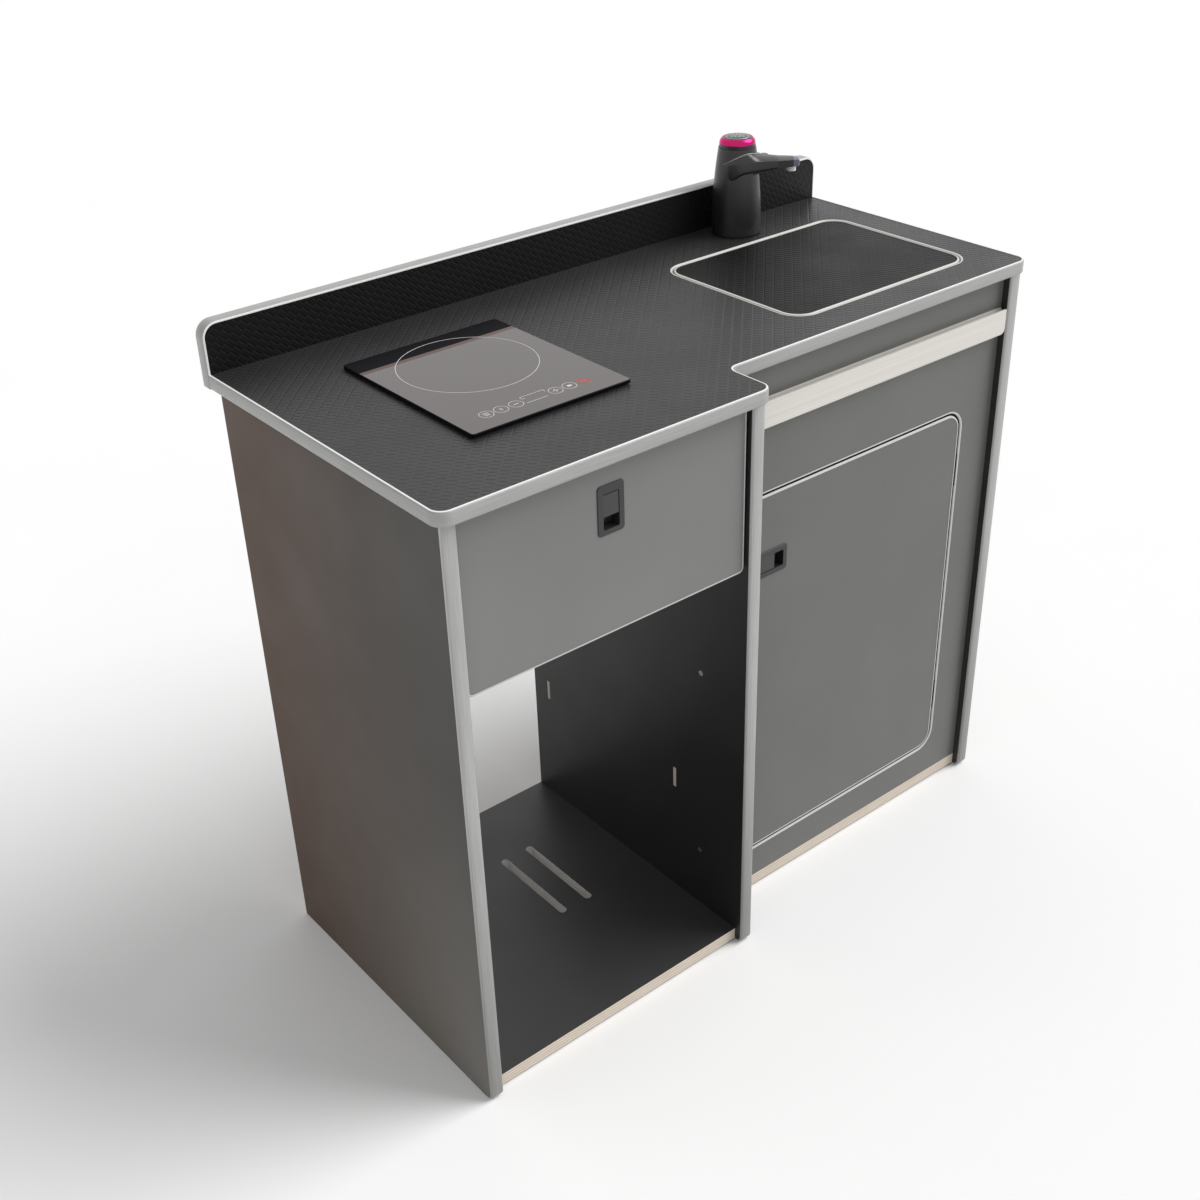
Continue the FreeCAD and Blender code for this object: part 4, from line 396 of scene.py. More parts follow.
def bare_poplar(name, across):
    """Unfinished poplar plywood: pale, with soft long grain on the faces and plies on the edges."""
    material, tree, place, normal = new_material(name)
    x_y_z = add_node(tree, "ShaderNodeSeparateXYZ", {0: place}).outputs
    along_grain = (1, 25, 25) if across == X else (25, 1, 1)
    grain = unevenness(tree, place, 4, 0.0, 1.0, 4.0, along_grain)
    ply = dark_plies(tree, x_y_z[across], DRAWER_PLY, DRAWER_PLY / 2)
    _, on_face = faces_of_board(tree, normal, across)
    face = add_node(tree, "ShaderNodeMix", {
        SHARE: grain, COLOUR_A: linear("#dccaa9"), COLOUR_B: linear("#bfa67f")}, data_type="RGBA")
    edge = add_node(tree, "ShaderNodeMix", {
        SHARE: ply, COLOUR_A: linear("#d9c8a8"), COLOUR_B: linear("#a98f6c")}, data_type="RGBA")
    colour = add_node(tree, "ShaderNodeMix", {
        SHARE: on_face, COLOUR_A: edge, COLOUR_B: face}, data_type="RGBA")
    relief = add_node(tree, "ShaderNodeBump", {
        "Height": grain, "Distance": 0.02 * MM, "Strength": 1.0})
    return end_material(material, {"Base Color": colour, "Roughness": 0.68, "Normal": relief})


def enamelled_copper(name):
    """Litz wire wound flat in rings, seen as fine copper-red grooves."""
    material, tree, place, _ = new_material(name)
    low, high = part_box("hob_coil")
    centred = add_node(tree, "ShaderNodeMapping", {
        "Vector": place, "Location": tuple(-(low + high) / 2)})
    rings = add_node(tree, "ShaderNodeTexWave", {
        "Vector": centred, "Scale": 110.0, "Distortion": 0.0},
        wave_type="RINGS", rings_direction="Z").outputs["Fac"]
    colour = add_node(tree, "ShaderNodeMix", {
        SHARE: rings, COLOUR_A: linear("#6f3a20"), COLOUR_B: linear("#c27a4b")}, data_type="RGBA")
    relief = add_node(tree, "ShaderNodeBump", {
        "Height": rings, "Distance": 0.4 * MM, "Strength": 1.0})
    return end_material(material, {
        "Base Color": colour, "Roughness": 0.35, "Metallic": 0.8, "Normal": relief})


def solder_mask(name):
    """Glass-fibre circuit board under green lacquer, with lighter tracks showing through."""
    material, tree, place, _ = new_material(name)
    spaced = add_node(tree, "ShaderNodeMapping", {"Vector": place, "Scale": (160, 160, 160)})
    track = add_node(tree, "ShaderNodeTexBrick", {
        "Vector": spaced, "Scale": 1.0, "Mortar Size": 0.12}).outputs["Fac"]
    colour = add_node(tree, "ShaderNodeMix", {
        SHARE: track, COLOUR_A: linear("#14492a"), COLOUR_B: linear("#1f6a3d")}, data_type="RGBA")
    relief = add_node(tree, "ShaderNodeBump", {
        "Height": track, "Distance": 0.03 * MM, "Strength": 1.0})
    return end_material(material, {"Base Color": colour, "Roughness": 0.3, "Normal": relief})


def burnished_steel(name):
    """Blackened spring steel of the slim hinges: dark, oiled and slightly uneven."""
    material, tree, place, _ = new_material(name)
    cloud = unevenness(tree, place, 4, 0.0, 1.0, 3.0)
    colour = add_node(tree, "ShaderNodeMix", {
        SHARE: cloud, COLOUR_A: linear("#1d1c1c"), COLOUR_B: linear("#2a2827")}, data_type="RGBA")
    rough = add_node(tree, "ShaderNodeMapRange", {"Value": cloud, "To Min": 0.36, "To Max": 0.5})
    return end_material(material, {"Base Color": colour, "Roughness": rough, "Metallic": 1.0})


def tap_plastic(name, axis_place, tip_reach):
    """Graphite ABS of the tap, satin, whose arm ends in a smoked and polished tip, its lighter
    lilac tone partly a painted sheen.
    """
    material, tree, place, _ = new_material(name)
    apart = add_node(tree, "ShaderNodeVectorMath", {0: place, 1: axis_place}, operation="SUBTRACT")
    level = add_node(tree, "ShaderNodeVectorMath", {0: apart, 1: (1, 1, 0)}, operation="MULTIPLY")
    reach = add_node(tree, "ShaderNodeVectorMath", {0: level}, operation="LENGTH")
    at_tip = add_node(tree, "ShaderNodeMath", {0: reach, 1: tip_reach}, operation="GREATER_THAN")
    # The tip's lighter lilac tone is partly its own smoked colour and partly a painted sheen
    colour = add_node(tree, "ShaderNodeMix", {
        SHARE: at_tip, COLOUR_A: linear("#1f1d1e"), COLOUR_B: linear("#66637a")}, data_type="RGBA")
    satin = unevenness(tree, place, 70, 0.3, 0.33)
    rough = add_node(tree, "ShaderNodeMix", {SHARE: at_tip, VALUE_A: satin, VALUE_B: 0.1})
    relief = add_node(tree, "ShaderNodeBump", {
        "Height": unevenness(tree, place, 0.7, 0.0, 1.0), "Distance": 0.004 * MM, "Strength": 1.0})
    return end_material(material, {
        "Base Color": colour, "Roughness": rough, "IOR": 1.53, "Normal": relief})


def soft_rubber(name):
    """Closed-cell foam rubber, black and matt."""
    material, tree, place, _ = new_material(name)
    cells = unevenness(tree, place, 0.8, 0.0, 1.0, 3.0)
    colour = add_node(tree, "ShaderNodeMix", {
        SHARE: cells, COLOUR_A: linear("#101010"), COLOUR_B: linear("#181818")}, data_type="RGBA")
    relief = add_node(tree, "ShaderNodeBump", {
        "Height": cells, "Distance": 0.05 * MM, "Strength": 1.0})
    return end_material(material, {"Base Color": colour, "Roughness": 0.85, "Normal": relief})


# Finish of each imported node. A board or edging is given the axis across it.

def dress(names, material):
    """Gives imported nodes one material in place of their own."""
    for name in names:
        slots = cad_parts[name].data.materials
        slots.clear()
        slots.append(material)


def middle_of(name, axis):
    """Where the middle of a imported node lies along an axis, in metres."""
    low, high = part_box(name)
    return (low[axis] + high[axis]) / 2


ring_low, ring_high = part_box("tap_ring")
tap_middle = (ring_low + ring_high) / 2
# How far from the tap's axis the polished tip, partly a painted sheen, begins, and how high the
# ring's graphite collar is
TIP_REACH, COLLAR_HEIGHT = 80 * MM, 5.3 * MM

# Left panel: its outer face is a darker, warmer copy of the front's grey laminate as painted shade,
# with a painted bronze reflection to the rear and painted bounce light at the foot
dress(["left_side_panel"],
      laminated_plywood("grey_laminate_left_painted_light", "#4b4946", "#262627", X, 0.5, 0.25,
                        painted_reflection_hex="#4f3c30", painted_bounce_hex="#716e69"))
dress(["right_side_panel"], laminated_plywood("grey_laminate_right", "#262627", "#6f6c67", X))
dress(["divider_panel"], laminated_plywood("graphite_laminate_upright", "#1a1a1b", "#222223", X))
# The slot walls of the bay base are painted near-white as light showing through
dress(["bay_base_panel"],
      laminated_plywood("graphite_laminate_slotted", "#3b3b3c", "#353537", Z, slot_light_hex="#f6f4f1"))
dress(["cupboard_base_panel", "bay_front_rail"],
      laminated_plywood("graphite_laminate_flat", "#3b3b3c", "#434344", Z))
dress(["drawer_front"], laminated_plywood("grey_laminate_drawer", "#767675", "#767675", Y))
dress(["face_panel", "door_panel"],
      laminated_plywood("grey_laminate_front", "#636361", "#636361", Y))
dress(["rear_rails", "bottle_rails"],
      laminated_plywood("graphite_laminate_rails", "#3b3b3c", "#3b3b3c", Y))
dress(["worktop"],
      laminated_plywood("embossed_black_laminate_flat", "#2a2a2b", "#272728", Z, 0.4, 0.4,
                        emboss=0.34))
# The lid's top is painted darker than the worktop's same laminate, as painted shade
dress(["sink_lid"],
      laminated_plywood("embossed_black_laminate_lid_painted_shade", "#2a2a2b", "#100e0f", Z, 0.46, 0.14,
                        emboss=0.26))
dress(["upstand"],
      laminated_plywood("embossed_black_laminate_upright", "#050506", "#0e0e10", Y, 0.5, 0.25,
                        emboss=0.3))

# The upright edgings are painted darker towards the foot as shade
for node in ("left_side_edging", "divider_edging", "right_side_edging"):
    dress([node], push_in_edging("silver_edging_" + node, X, middle_of(node, X),
                                "#a6a6a4", "#b6b6b4", foot_shade_share=0.62))
# The worktop and upstand edgings carry a near-white painted highlight on their lips
for node, axis in (("worktop_edging", Z), ("upstand_edging", Y)):
    dress([node], push_in_edging("silver_edging_" + node, axis, middle_of(node, axis),
                                "#a0a09e", "#f2f2f0"))
# The front edgings' flanks in the gaps are painted near-black as shade
dress(["door_opening_edging", "door_edging", "drawer_front_edging"],
      push_in_edging("silver_edging_front", Y, middle_of("face_panel", Y),
                     "#b2b2b0", "#c8c8c6", gap_shade_from=2.0))
dress(["sink_opening_edging", "sink_lid_edging"],
      push_in_edging("silver_edging_sink", Z, middle_of("worktop", Z), "#b9b7b2", "#d6d4cf"))

dress(["table_rail"], anodised_rail("ivory_anodised_aluminium"))
dress(["drawer_side_left", "drawer_side_right"], bare_poplar("bare_poplar_sides", X))
dress(["drawer_back"], bare_poplar("bare_poplar_back", Y))
dress(["drawer_bottom", "panel_dowels"], bare_poplar("bare_poplar_bottom", Z))
dress(["sink_bowl", "sink_waste"], brushed_stainless("brushed_stainless"))
dress(["runner_outers", "runner_middle_left", "runner_middle_right", "runner_inner_left",
       "runner_inner_right", "latch_keepers", "divider_screws", "worktop_brackets", "hob_casing"],
      zinc_plate("zinc_plated_steel"))
dress(["hinge_leaves_stile", "hinge_leaves_door"], burnished_steel("blackened_spring_steel"))
dress(["hob_glass"], mirror_black_glass("black_ceramic_glass"))
dress(["hob_gasket"], soft_rubber("foam_rubber"))
dress(["hob_coil"], enamelled_copper("wound_litz_wire"))
dress(["hob_control_board"], solder_mask("green_circuit_board"))
dress(["hob_fan_frame", "hob_fan_impeller", "tap_mount"],
      moulded_plastic("black_nylon", "#161617", 0.5))
GRAPHITE = tap_plastic("graphite_abs", tuple(tap_middle), TIP_REACH)
# The light grey of the tap's hood lip is a painted highlight on graphite plastic
LIP_HIGHLIGHT_ABS = moulded_plastic("graphite_abs_painted_highlight", "#8f8c86", 0.2)
dress(["tap_body"], GRAPHITE)
dress(["tap_ring"], anodised_ring("magenta_anodised_aluminium", ring_low.z + COLLAR_HEIGHT))
dress(["tap_button"], moulded_plastic("dark_gloss_abs", "#1c1d22", 0.16))
dress(["tap_nozzle"], moulded_plastic("white_abs", "#f4f4f2", 0.35))
dress(["drawer_latch_housing", "door_latch_housing"],
      moulded_plastic("black_textured_nylon", "#252526", 0.42))
dress(["drawer_latch_paddle", "door_latch_paddle"],
      moulded_plastic("grey_black_abs", "#2e2e2f", 0.38))
dress(["drawer_latch_bolt", "door_latch_bolt"], moulded_plastic("black_acetal", "#131313", 0.3))

INK = printed_ink("white_ceramic_ink", "#d6d3d1")
RED_INK = printed_ink("red_ceramic_ink", "#cf4f38")
PLATED = zinc_plate("zinc_plated_screws")
GLOSSY_DISC = moulded_plastic("slate_gloss_disc", "#1b1d25", 0.12)
SILVER_INLAY = zinc_plate("satin_silver_inlay")
STAINLESS = brushed_stainless("brushed_stainless_strainer")


# Pieces that repeat are grown by geometry nodes on loose points

def geometry_tree(name, sizes):
    """A tree that takes points, named sizes and a material."""
    tree = bpy.data.node_groups.new(name, "GeometryNodeTree")
    tree.interface.new_socket("Geometry", in_out="INPUT", socket_type="NodeSocketGeometry")
    for size in sizes:
        tree.interface.new_socket(size, in_out="INPUT", socket_type="NodeSocketFloat")
    tree.interface.new_socket("Material", in_out="INPUT", socket_type="NodeSocketMaterial")
    tree.interface.new_socket("Geometry", in_out="OUTPUT", socket_type="NodeSocketGeometry")
    return tree, add_node(tree, "NodeGroupInput").outputs


def end_tree(tree, entry, shape):
    """Stands a shape on every point, its Z along the point's facing, as real painted geometry."""
    facing = add_node(tree, "GeometryNodeInputNamedAttribute", {"Name": "facing"},
                      data_type="FLOAT_VECTOR")
    turn = add_node(tree, "FunctionNodeAlignRotationToVector", {"Vector": facing}, axis="Z")
    stood = add_node(tree, "GeometryNodeInstanceOnPoints", {
        "Points": entry["Geometry"], "Instance": shape, "Rotation": turn})
    real = add_node(tree, "GeometryNodeRealizeInstances", {"Geometry": stood})
    painted = add_node(tree, "GeometryNodeSetMaterial", {
        "Geometry": real, "Material": entry["Material"]})
    add_node(tree, "NodeGroupOutput", {"Geometry": painted})
    return tree


def settle(name, mesh, body, material=None):
    """Puts a finished mesh in the scene as a piece that rides on a body."""
    if material:
        mesh.materials.append(material)
    piece = bpy.data.objects.new(name, mesh)
    bpy.context.scene.collection.objects.link(piece)
    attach(piece, body)
    return piece


def grow(name, tree, points, sizes, material, body):
    """Runs a tree on points with their facings, and keeps the result as a plain mesh piece."""
    mesh = bpy.data.meshes.new(name + "_points")
    mesh.from_pydata([place for place, _ in points], [], [])
    facing = mesh.attributes.new("facing", "FLOAT_VECTOR", "POINT")
    for index, (_, way) in enumerate(points):
        facing.data[index].vector = way
    carrier = bpy.data.objects.new(name + "_points", mesh)
    bpy.context.scene.collection.objects.link(carrier)
    modifier = carrier.modifiers.new("grow", "NODES")
    modifier.node_group = tree
    given = {**sizes, "Material": material}
    for item in tree.interface.items_tree:
        if item.in_out == "INPUT" and item.name in given:
            modifier[item.identifier] = given[item.name]
    graph = bpy.context.evaluated_depsgraph_get()
    grown = bpy.data.meshes.new_from_object(carrier.evaluated_get(graph))
    bpy.data.objects.remove(carrier)
    settle(name, grown, body)


def screw_tree():
    """Pan-head screws with a cross recess."""
    tree, entry = geometry_tree("pan_head_screws", [
        "Head radius", "Head height", "Recess length", "Recess width"])
    shape = add_node(tree, "GeometryNodeMeshCylinder", {
        "Vertices": 24, "Radius": entry["Head radius"], "Depth": entry["Head height"]})
    long_way = add_node(tree, "ShaderNodeCombineXYZ", {
        0: entry["Recess length"], 1: entry["Recess width"], 2: entry["Head height"]})
    cross_way = add_node(tree, "ShaderNodeCombineXYZ", {
        0: entry["Recess width"], 1: entry["Recess length"], 2: entry["Head height"]})
    # The bars that cut the recess stand 0.6 of the head's height above its middle
    rise = add_node(tree, "ShaderNodeMath", {0: entry["Head height"], 1: 0.6}, operation="MULTIPLY")
    lift = add_node(tree, "ShaderNodeCombineXYZ", {2: rise})
    for size in (long_way, cross_way):
        bar = add_node(tree, "GeometryNodeMeshCube", {"Size": size})
        raised = add_node(tree, "GeometryNodeTransform", {"Geometry": bar, "Translation": lift})
        shape = add_node(tree, "GeometryNodeMeshBoolean", {"Mesh 1": shape, "Mesh 2": raised},
                         operation="DIFFERENCE")
    return end_tree(tree, entry, shape)


def ring_tree():
    """Flat printed rings."""
    tree, entry = geometry_tree("printed_rings", ["Ring radius", "Line width", "Ink height"])
    circle = add_node(tree, "GeometryNodeCurvePrimitiveCircle", {
        "Resolution": 96, "Radius": entry["Ring radius"]}, mode="RADIUS")
    section = add_node(tree, "GeometryNodeCurvePrimitiveQuadrilateral", {
        "Width": entry["Line width"], "Height": entry["Ink height"]}, mode="RECTANGLE")
    band = add_node(tree, "GeometryNodeCurveToMesh", {"Curve": circle, "Profile Curve": section})
    return end_tree(tree, entry, band)


def strainer_tree():
    """A round plate with three rings of round holes."""
    tree, entry = geometry_tree("strainer_plate", ["Plate radius", "Plate height", "Hole radius"])
    shape = add_node(tree, "GeometryNodeMeshCylinder", {
        "Vertices": 64, "Radius": entry["Plate radius"], "Depth": entry["Plate height"]})
    tall = add_node(tree, "ShaderNodeMath", {0: entry["Plate height"], 1: 3.0},
                    operation="MULTIPLY")
    pin = add_node(tree, "GeometryNodeMeshCylinder", {
        "Vertices": 12, "Radius": entry["Hole radius"], "Depth": tall})
    for share, count in ((0.28, 6), (0.55, 12), (0.8, 18)):
        reach = add_node(tree, "ShaderNodeMath", {0: entry["Plate radius"], 1: share},
                         operation="MULTIPLY")
        circle = add_node(tree, "GeometryNodeMeshCircle", {"Vertices": count, "Radius": reach})
        pins = add_node(tree, "GeometryNodeInstanceOnPoints", {"Points": circle, "Instance": pin})
        real = add_node(tree, "GeometryNodeRealizeInstances", {"Geometry": pins})
        shape = add_node(tree, "GeometryNodeMeshBoolean", {"Mesh 1": shape, "Mesh 2": real},
                         operation="DIFFERENCE")
    return end_tree(tree, entry, shape)


# Screws of the angle brackets under the worktop. Places and reaches are in millimetres.
SCREW_SIZES = {"Head radius": 3.4 * MM, "Head height": 1.8 * MM,
               "Recess length": 4.2 * MM, "Recess width": 1.0 * MM}
BRACKET_FRONT, BRACKET_REAR = -17.75, 177.25
WORKTOP_UNDER = 832
# Each face that carries brackets: its place, the way it looks, and where its brackets stand
BRACKET_FACES = [
    (-486, 1, (BRACKET_FRONT, BRACKET_REAR)),  # left side panel
    (-68, -1, (BRACKET_FRONT, BRACKET_REAR)),  # divider, towards the bay
    (-50, 1, (BRACKET_REAR,)),                 # divider, towards the cupboard
    (484, -1, (BRACKET_REAR,)),                # right side panel
]
# How far the middle of a head stands off, and how far down and along the bracket's legs it sits
HEAD_MIDDLE, DOWN_LEG, ALONG_LEG = 2.7, 17, 18


def bracket_screws():
    """Two screws in each angle bracket: one into the upright panel, one up into the worktop."""
    heads = []
    for panel_x, way, places in BRACKET_FACES:
        for y in places:
            side_screw = Vector((panel_x + way * HEAD_MIDDLE, y, WORKTOP_UNDER - DOWN_LEG))
            top_screw = Vector((panel_x + way * ALONG_LEG, y, WORKTOP_UNDER - HEAD_MIDDLE))
            heads.append((side_screw * MM, (way, 0, 0)))
            heads.append((top_screw * MM, (0, 0, -1)))
    return heads


grow("bracket_screws", screw_tree(), bracket_screws(), SCREW_SIZES, PLATED, "carcass")

# Printing on the hob: cooking ring, touch marks with plain signs, and lines that frame the display.
# Places are in millimetres from the front left corner of the glass.
glass_low, glass_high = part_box("hob_glass")
INK_HEIGHT = 0.08 * MM
INK_LEVEL = glass_high.z + INK_HEIGHT / 2
RINGS = ring_tree()
COOKING_RING_MIDDLE = (112, 168)
COOKING_RING_SIZES = {"Ring radius": 85.5 * MM, "Line width": 1.0 * MM, "Ink height": INK_HEIGHT}
TOUCH_SIZES = {"Ring radius": 8.6 * MM, "Line width": 0.9 * MM, "Ink height": INK_HEIGHT}
TOUCH_MIDDLES = [(43, 34), (63, 34), (84, 34), (140, 34), (160, 34)]
STOP_MIDDLE = (181, 34)


def on_glass(x, y):
    """A place in the printing, in millimetres from the front left corner of the glass."""
    return (glass_low.x + x * MM, glass_low.y + y * MM, INK_LEVEL)


grow("hob_cooking_ring", RINGS, [(on_glass(*COOKING_RING_MIDDLE), UP)], COOKING_RING_SIZES, INK,
     "carcass")
grow("hob_touch_marks", RINGS, [(on_glass(*middle), UP) for middle in TOUCH_MIDDLES], TOUCH_SIZES,
     INK, "carcass")
grow("hob_stop_mark", RINGS, [(on_glass(*STOP_MIDDLE), UP)], TOUCH_SIZES, RED_INK,
     "carcass")


def printed_bars(name, bars, material):
    """Thin printed strips on the glass: each is its middle, length, width and turn in degrees."""
    corners, faces = [], []
    for x, y, length, width, turn in bars:
        middle = Vector(on_glass(x, y))
        spin = Matrix.Rotation(math.radians(turn), 3, "Z")
        first = len(corners)
        for level in (-INK_HEIGHT / 2, INK_HEIGHT / 2):
            for sx, sy in ((-1, -1), (1, -1), (1, 1), (-1, 1)):
                corner = Vector((sx * length / 2 * MM, sy * width / 2 * MM, level))
                corners.append(middle + spin @ corner)
        faces.append([first + i for i in (3, 2, 1, 0)])
        faces.append([first + i for i in (4, 5, 6, 7)])
        for i in range(4):
            after = (i + 1) % 4
            faces.append([first + i, first + after, first + 4 + after, first + 4 + i])
    mesh = bpy.data.meshes.new(name)
    mesh.from_pydata(corners, [], faces)
    settle(name, mesh, "carcass", material)


printed_bars("hob_signs", [
    # Signs in the touch marks: three lines, a cross, a minus, a plus and a block
    (43, 34, 7, 1.2, 0), (43, 37, 7, 1.2, 0), (43, 31, 7, 1.2, 0),
    (63, 34, 6, 1.2, 60), (63, 34, 6, 1.2, -60),
    (84, 34, 8, 1.3, 0),
    (140, 34, 8, 1.3, 0), (140, 34, 8, 1.3, 90),
    (160, 34, 6, 4.5, 0),
    # Frame of the display
    (99, 40, 4, 0.9, 0), (97, 43, 0.9, 6, 0), (113.5, 45.5, 33, 0.8, 0), (130, 43, 0.9, 5, 0),
    (110, 28, 30, 0.8, 0),
], INK)
printed_bars("hob_stop_sign", [(181, 34, 9, 4.5, 0), (181, 38, 1.2, 5, 0)], RED_INK)


# Tap: hood where the arm leaves the body, and inlay, disc and plain signs on the button

# Hood of the arm, in millimetres: station along the arm, half width, edge level, crown level, how
# square the crown is, and level of the underside
HOOD_ROWS = [
    (-22, 19.0, 100.0, 104.0, 4.0, 80.0), (-18, 24.0, 101.0, 107.0, 4.0, 79.0),
    (-14, 27.6, 102.2, 110.5, 4.5, 78.5), (-9, 30.8, 103.3, 113.6, 4.5, 78.0),
    (-4, 32.2, 104.2, 116.8, 5.0, 80.0), (1, 32.5, 104.6, 118.6, 5.5, 83.8),
    (6, 31.7, 104.8, 119.3, 6.5, 86.2), (11, 30.0, 104.9, 119.6, 7.0, 86.9),
    (16, 28.1, 104.8, 118.6, 7.0, 87.2), (21, 26.1, 104.6, 115.0, 4.5, 87.5),
    (26, 24.2, 104.3, 111.0, 3.0, 87.8), (31, 22.5, 104.0, 108.6, 2.4, 88.1),
    (38, 20.2, 103.6, 106.9, 2.0, 88.5), (46, 18.0, 103.2, 106.0, 2.0, 88.9),
    (54, 16.4, 102.8, 105.4, 2.0, 89.8), (62, 14.3, 102.2, 104.2, 2.0, 91.5),
]
# Where the hood leaves the body, at either side: along the arm, half width and level
HOOD_ROOT = [
    (-20.9, 20.9, 100.6), (-15.5, 24.9, 103.8), (-9, 27.6, 107.2), (-4.5, 28.4, 109.6),
    (0.2, 28.3, 111.8), (7.7, 27.0, 114.4), (15.5, 23.2, 115.5), (22.8, 15.6, 113.6),
    (26.6, 8, 111.2), (28.1, 0, 110.4)]
# Half widths at which the crown is drawn, from the edge inwards
CROWN_SHARES = (0.94, 0.88, 0.8, 0.7, 0.55, 0.35, 0.15)
ARM_DEGREES = -41
ARM_FOOT = Vector((tap_middle.x, tap_middle.y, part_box("tap_body")[0].z))
ARM_TURN = Matrix.Rotation(math.radians(ARM_DEGREES), 3, "Z")


def along_arm(place):
    """A place in metres, from one in millimetres along the arm, to its left and up the tap."""
    return ARM_FOOT + ARM_TURN @ Vector(place) * MM


def hood_section(half, edge, crown, squareness, under):
    """Outline of the hood at one station, from the middle of its underside all the way round."""
    near = [(0.0, under), (0.6, under), (0.92, under + 0.4), (1.01, under + 1.6),
            (1.03, under + 4), (1.01, edge - 5), (1.0, edge - 0.8), (0.99, edge)]
    near += [(share, edge + (crown - edge) * (1 - share ** squareness)) for share in CROWN_SHARES]
    far = [(-share, level) for share, level in reversed(near[1:])]
    return [(share * half, level) for share, level in near + [(0.0, crown)] + far]


def tap_hood():
    """The top of the arm sweeps up to the body like a hood, with a sharp tip at either side."""
    shell = bmesh.new()
    rows = [[shell.verts.new(along_arm((station, side, level)))
             for side, level in hood_section(*section)] for station, *section in HOOD_ROWS]
    for row, following in zip(rows, rows[1:]):
        for i in range(len(row)):
            after = (i + 1) % len(row)
            shell.faces.new((row[i], row[after], following[after], following[i])).smooth = True
    shell.faces.new(rows[0])
    shell.faces.new(rows[-1])
    bmesh.ops.recalc_face_normals(shell, faces=shell.faces)
    mesh = bpy.data.meshes.new("tap_hood")
    shell.to_mesh(mesh)
    shell.free()
    piece = settle("tap_hood", mesh, "tap", GRAPHITE)
    rounding = piece.modifiers.new("rounding", "SUBSURF")
    rounding.levels = rounding.render_levels = 2


def tap_hood_lip():
    """A half-round lip where the hood leaves the body, light grey as a painted highlight; it thins
    out towards the tips.
    """
    line = bpy.data.curves.new("tap_hood_lip", "CURVE")
    line.dimensions = "3D"
    line.bevel_depth = 1.1 * MM
    line.bevel_resolution = 3
    line.use_fill_caps = True
    path = line.splines.new("NURBS")
    places = [(along, -half, level) for along, half, level in HOOD_ROOT]
    places += [(along, half, level) for along, half, level in reversed(HOOD_ROOT[:-1])]
    path.points.add(len(places) - 1)
    for i, place in enumerate(places):
        from_tip = min(i, len(places) - 1 - i)
        path.points[i].co = (*along_arm(place), 1.0)
        path.points[i].radius = min(1.0, 0.25 + 0.3 * from_tip)
    path.order_u = 4
    path.use_endpoint_u = True
    drawn = bpy.data.objects.new("tap_hood_lip_line", line)
    bpy.context.scene.collection.objects.link(drawn)
    graph = bpy.context.evaluated_depsgraph_get()
    mesh = bpy.data.meshes.new_from_object(drawn.evaluated_get(graph))
    bpy.data.objects.remove(drawn)
    bpy.data.curves.remove(line)
    mesh.name = "tap_hood_lip"
    mesh.materials.clear()
    settle("tap_hood_lip", mesh, "tap", LIP_HIGHLIGHT_ABS)


tap_hood()
tap_hood_lip()
LATHE_STEPS = 64


def lathe(name, profile, middle, material, body):
    """A closed turned shape: profile points are radius and height in millimetres, axis to axis."""
    corners, faces = [], []
    middle = Vector(middle)
    for radius, height in profile:
        for step in range(LATHE_STEPS):
            angle = 2 * math.pi * step / LATHE_STEPS
            spoke = Vector((radius * math.cos(angle), radius * math.sin(angle), height))
            corners.append(middle + spoke * MM)
    for first in range(0, len(corners) - LATHE_STEPS, LATHE_STEPS):
        for step in range(LATHE_STEPS):
            after = (step + 1) % LATHE_STEPS
            above = first + LATHE_STEPS
            faces.append([first + step, first + after, above + after, above + step])
    faces.append(list(range(LATHE_STEPS))[::-1])
    faces.append([len(corners) - LATHE_STEPS + step for step in range(LATHE_STEPS)])
    mesh = bpy.data.meshes.new(name)
    mesh.from_pydata(corners, [], faces)
    for face in mesh.polygons:
        face.use_smooth = len(face.vertices) == 4
    settle(name, mesh, body, material)


button_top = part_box("tap_button")[1].z
button_middle = (tap_middle.x, tap_middle.y, button_top)
lathe("tap_button_inlay", [(16.6, -0.1), (16.6, 0.25), (16.3, 0.35), (0.6, 0.35)],
      button_middle, SILVER_INLAY, "button")
lathe("tap_button_disc", [(15.4, 0.2), (15.4, 0.5), (15.0, 0.6), (0.6, 0.8)],
      button_middle, GLOSSY_DISC, "button")
SIGN_LEVEL = button_top + 0.78 * MM
# Places of the three ring signs, in millimetres from the button's middle
SIGN_PLACES = [(-6.5, 1.5), (5.5, 3.5), (1.5, -6.5)]
grow("tap_button_signs", RINGS, [((tap_middle.x + x * MM, tap_middle.y + y * MM, SIGN_LEVEL), UP)
                                 for x, y in SIGN_PLACES],
     {"Ring radius": 3.4 * MM, "Line width": 1.0 * MM, "Ink height": 0.1 * MM},
     INK, "button")

# Strainer in the mouth of the sink waste
STRAINER_SIZES = {"Plate radius": 26.6 * MM, "Plate height": 1.2 * MM, "Hole radius": 1.9 * MM}
waste_low, waste_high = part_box("sink_waste")
waste_middle = (waste_low + waste_high) / 2
strainer_place = (waste_middle.x, waste_middle.y, waste_high.z - 1.2 * MM)
grow("sink_strainer", strainer_tree(), [(strainer_place, UP)], STRAINER_SIZES, STAINLESS,
     "carcass")


# Studio: pale floor, white world, one wide sun and the camera of the photograph

FLOOR_REACH = 30.0
FLOOR_DROP = 0.5 * MM
# White as the camera and reflections see it, and as a light
WORLD_SEEN, WORLD_LIGHT = 1.0, 0.5
SUN_PLACE, SUN_SPREAD, SUN_STRENGTH = (2.2, -1.2, 2.4), 40, 2.45
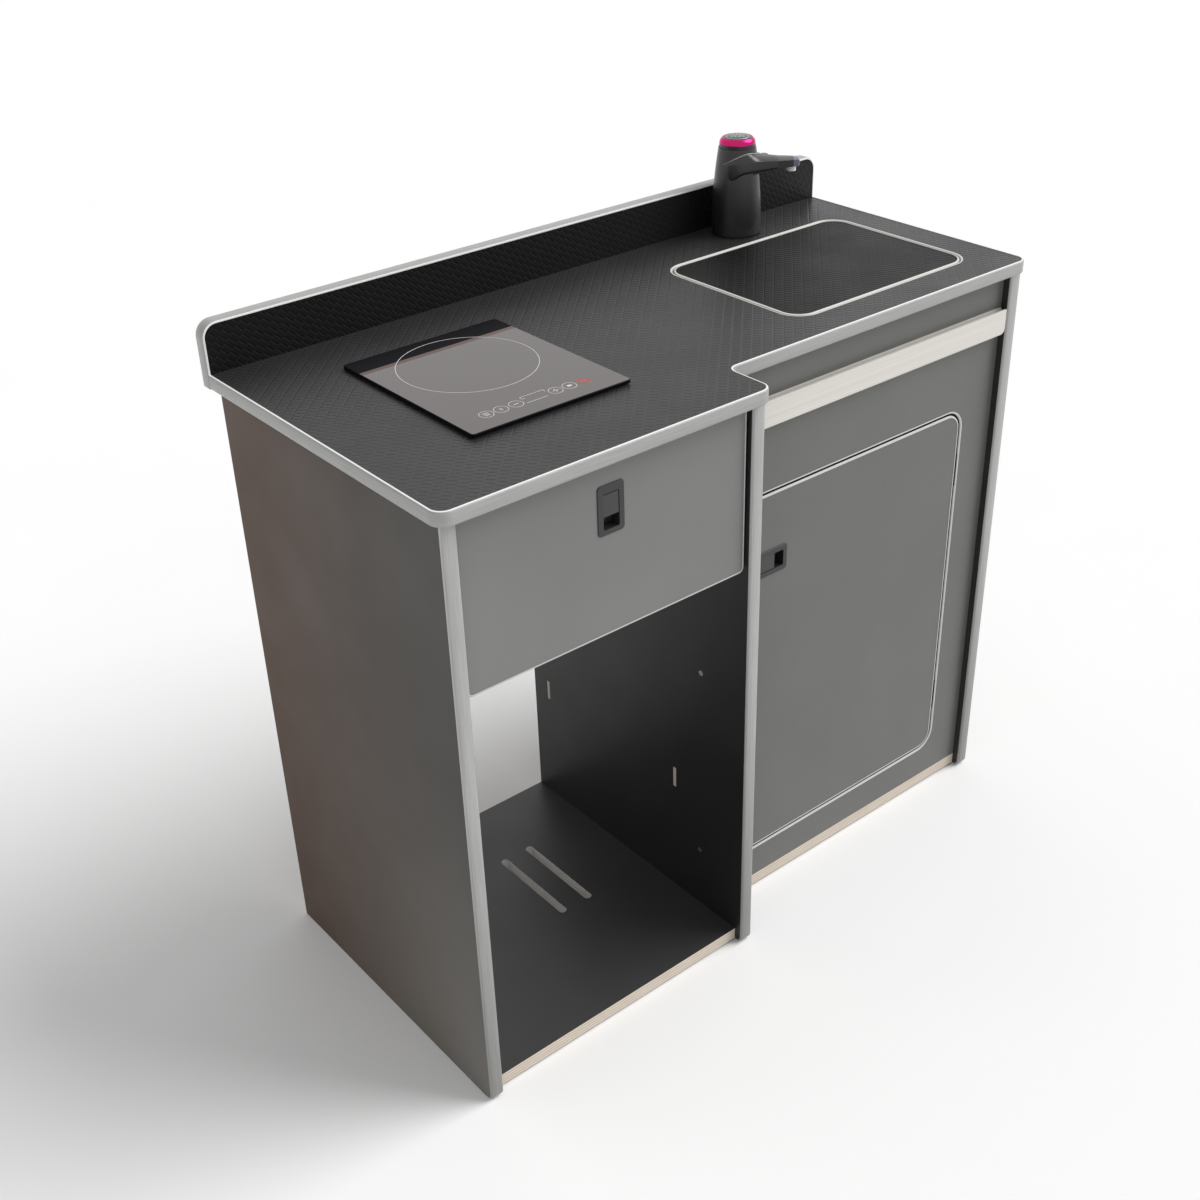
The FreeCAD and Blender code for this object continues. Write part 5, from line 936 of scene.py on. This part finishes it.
# Camera, as worked out from the straight edges of the boards: place in metres, turns in radians,
# and focal length in millimetres on a sensor 36 mm wide
CAMERA_PLACE = (-1.23605, -1.41514, 1.56411)
YAW, PITCH, ROLL = 0.670, -0.540, -0.033
FOCAL_LENGTH, SENSOR_WIDTH = 46.881, 36


def floor():
    """A matt, very slightly mottled floor just under the pod."""
    mesh = bpy.data.meshes.new("studio_floor")
    mesh.from_pydata([(x * FLOOR_REACH, y * FLOOR_REACH, 0)
                      for x, y in ((-1, -1), (1, -1), (1, 1), (-1, 1))], [], [(0, 1, 2, 3)])
    material, tree, place, _ = new_material("pale_floor_paint")
    mottle = unevenness(tree, place, 600, 0.95, 0.965)
    colour = add_node(tree, "ShaderNodeCombineColor", {0: mottle, 1: mottle, 2: mottle})
    mesh.materials.append(end_material(material, {"Base Color": colour, "Roughness": 0.9}))
    plane = bpy.data.objects.new("studio_floor", mesh)
    bpy.context.scene.collection.objects.link(plane)
    plane.location.z = cad_box[0].z - FLOOR_DROP


def studio_world():
    """White all round: full white for the camera and for reflections, softer as a light."""
    world = bpy.data.worlds.new("studio")
    bpy.context.scene.world = world
    world.use_nodes = True
    tree = world.node_tree
    tree.nodes.clear()
    path = add_node(tree, "ShaderNodeLightPath").outputs
    seen = add_node(tree, "ShaderNodeMath", {
        0: path["Is Camera Ray"], 1: path["Is Glossy Ray"]}, operation="MAXIMUM")
    seen = add_node(tree, "ShaderNodeMath", {0: seen, 1: path["Is Transmission Ray"]},
                    operation="MAXIMUM")
    strength = add_node(tree, "ShaderNodeMapRange", {
        "Value": seen, "To Min": WORLD_LIGHT, "To Max": WORLD_SEEN})
    sky = add_node(tree, "ShaderNodeBackground", {"Color": (1, 1, 1, 1), "Strength": strength})
    add_node(tree, "ShaderNodeOutputWorld", {"Surface": sky})


def key_sun():
    """One wide soft sun from the front right, which lights the whole floor evenly."""
    lamp = bpy.data.lights.new("key_sun", "SUN")
    lamp.angle = math.radians(SUN_SPREAD)
    lamp.energy = SUN_STRENGTH
    holder = bpy.data.objects.new("key_sun", lamp)
    holder.rotation_euler = (-Vector(SUN_PLACE)).to_track_quat("-Z", "Y").to_euler()
    bpy.context.scene.collection.objects.link(holder)


def photo_camera():
    """The camera that took the photograph."""
    ahead = Vector((math.sin(YAW) * math.cos(PITCH), math.cos(YAW) * math.cos(PITCH),
                    math.sin(PITCH)))
    right = Vector((math.cos(YAW), -math.sin(YAW), 0))
    above = right.cross(ahead)
    tilted_right = right * math.cos(ROLL) + above * math.sin(ROLL)
    tilted_above = above * math.cos(ROLL) - right * math.sin(ROLL)
    lens = bpy.data.cameras.new("photo_camera")
    lens.sensor_width = SENSOR_WIDTH
    lens.lens = FOCAL_LENGTH
    lens.clip_start = 0.05
    camera = bpy.data.objects.new("photo_camera", lens)
    turn = Matrix((tilted_right, tilted_above, -ahead)).transposed()
    camera.matrix_world = Matrix.Translation(CAMERA_PLACE) @ turn.to_4x4()
    bpy.context.scene.collection.objects.link(camera)
    bpy.context.scene.camera = camera


floor()
studio_world()
key_sun()
photo_camera()
bpy.context.scene.view_settings.view_transform = "Standard"
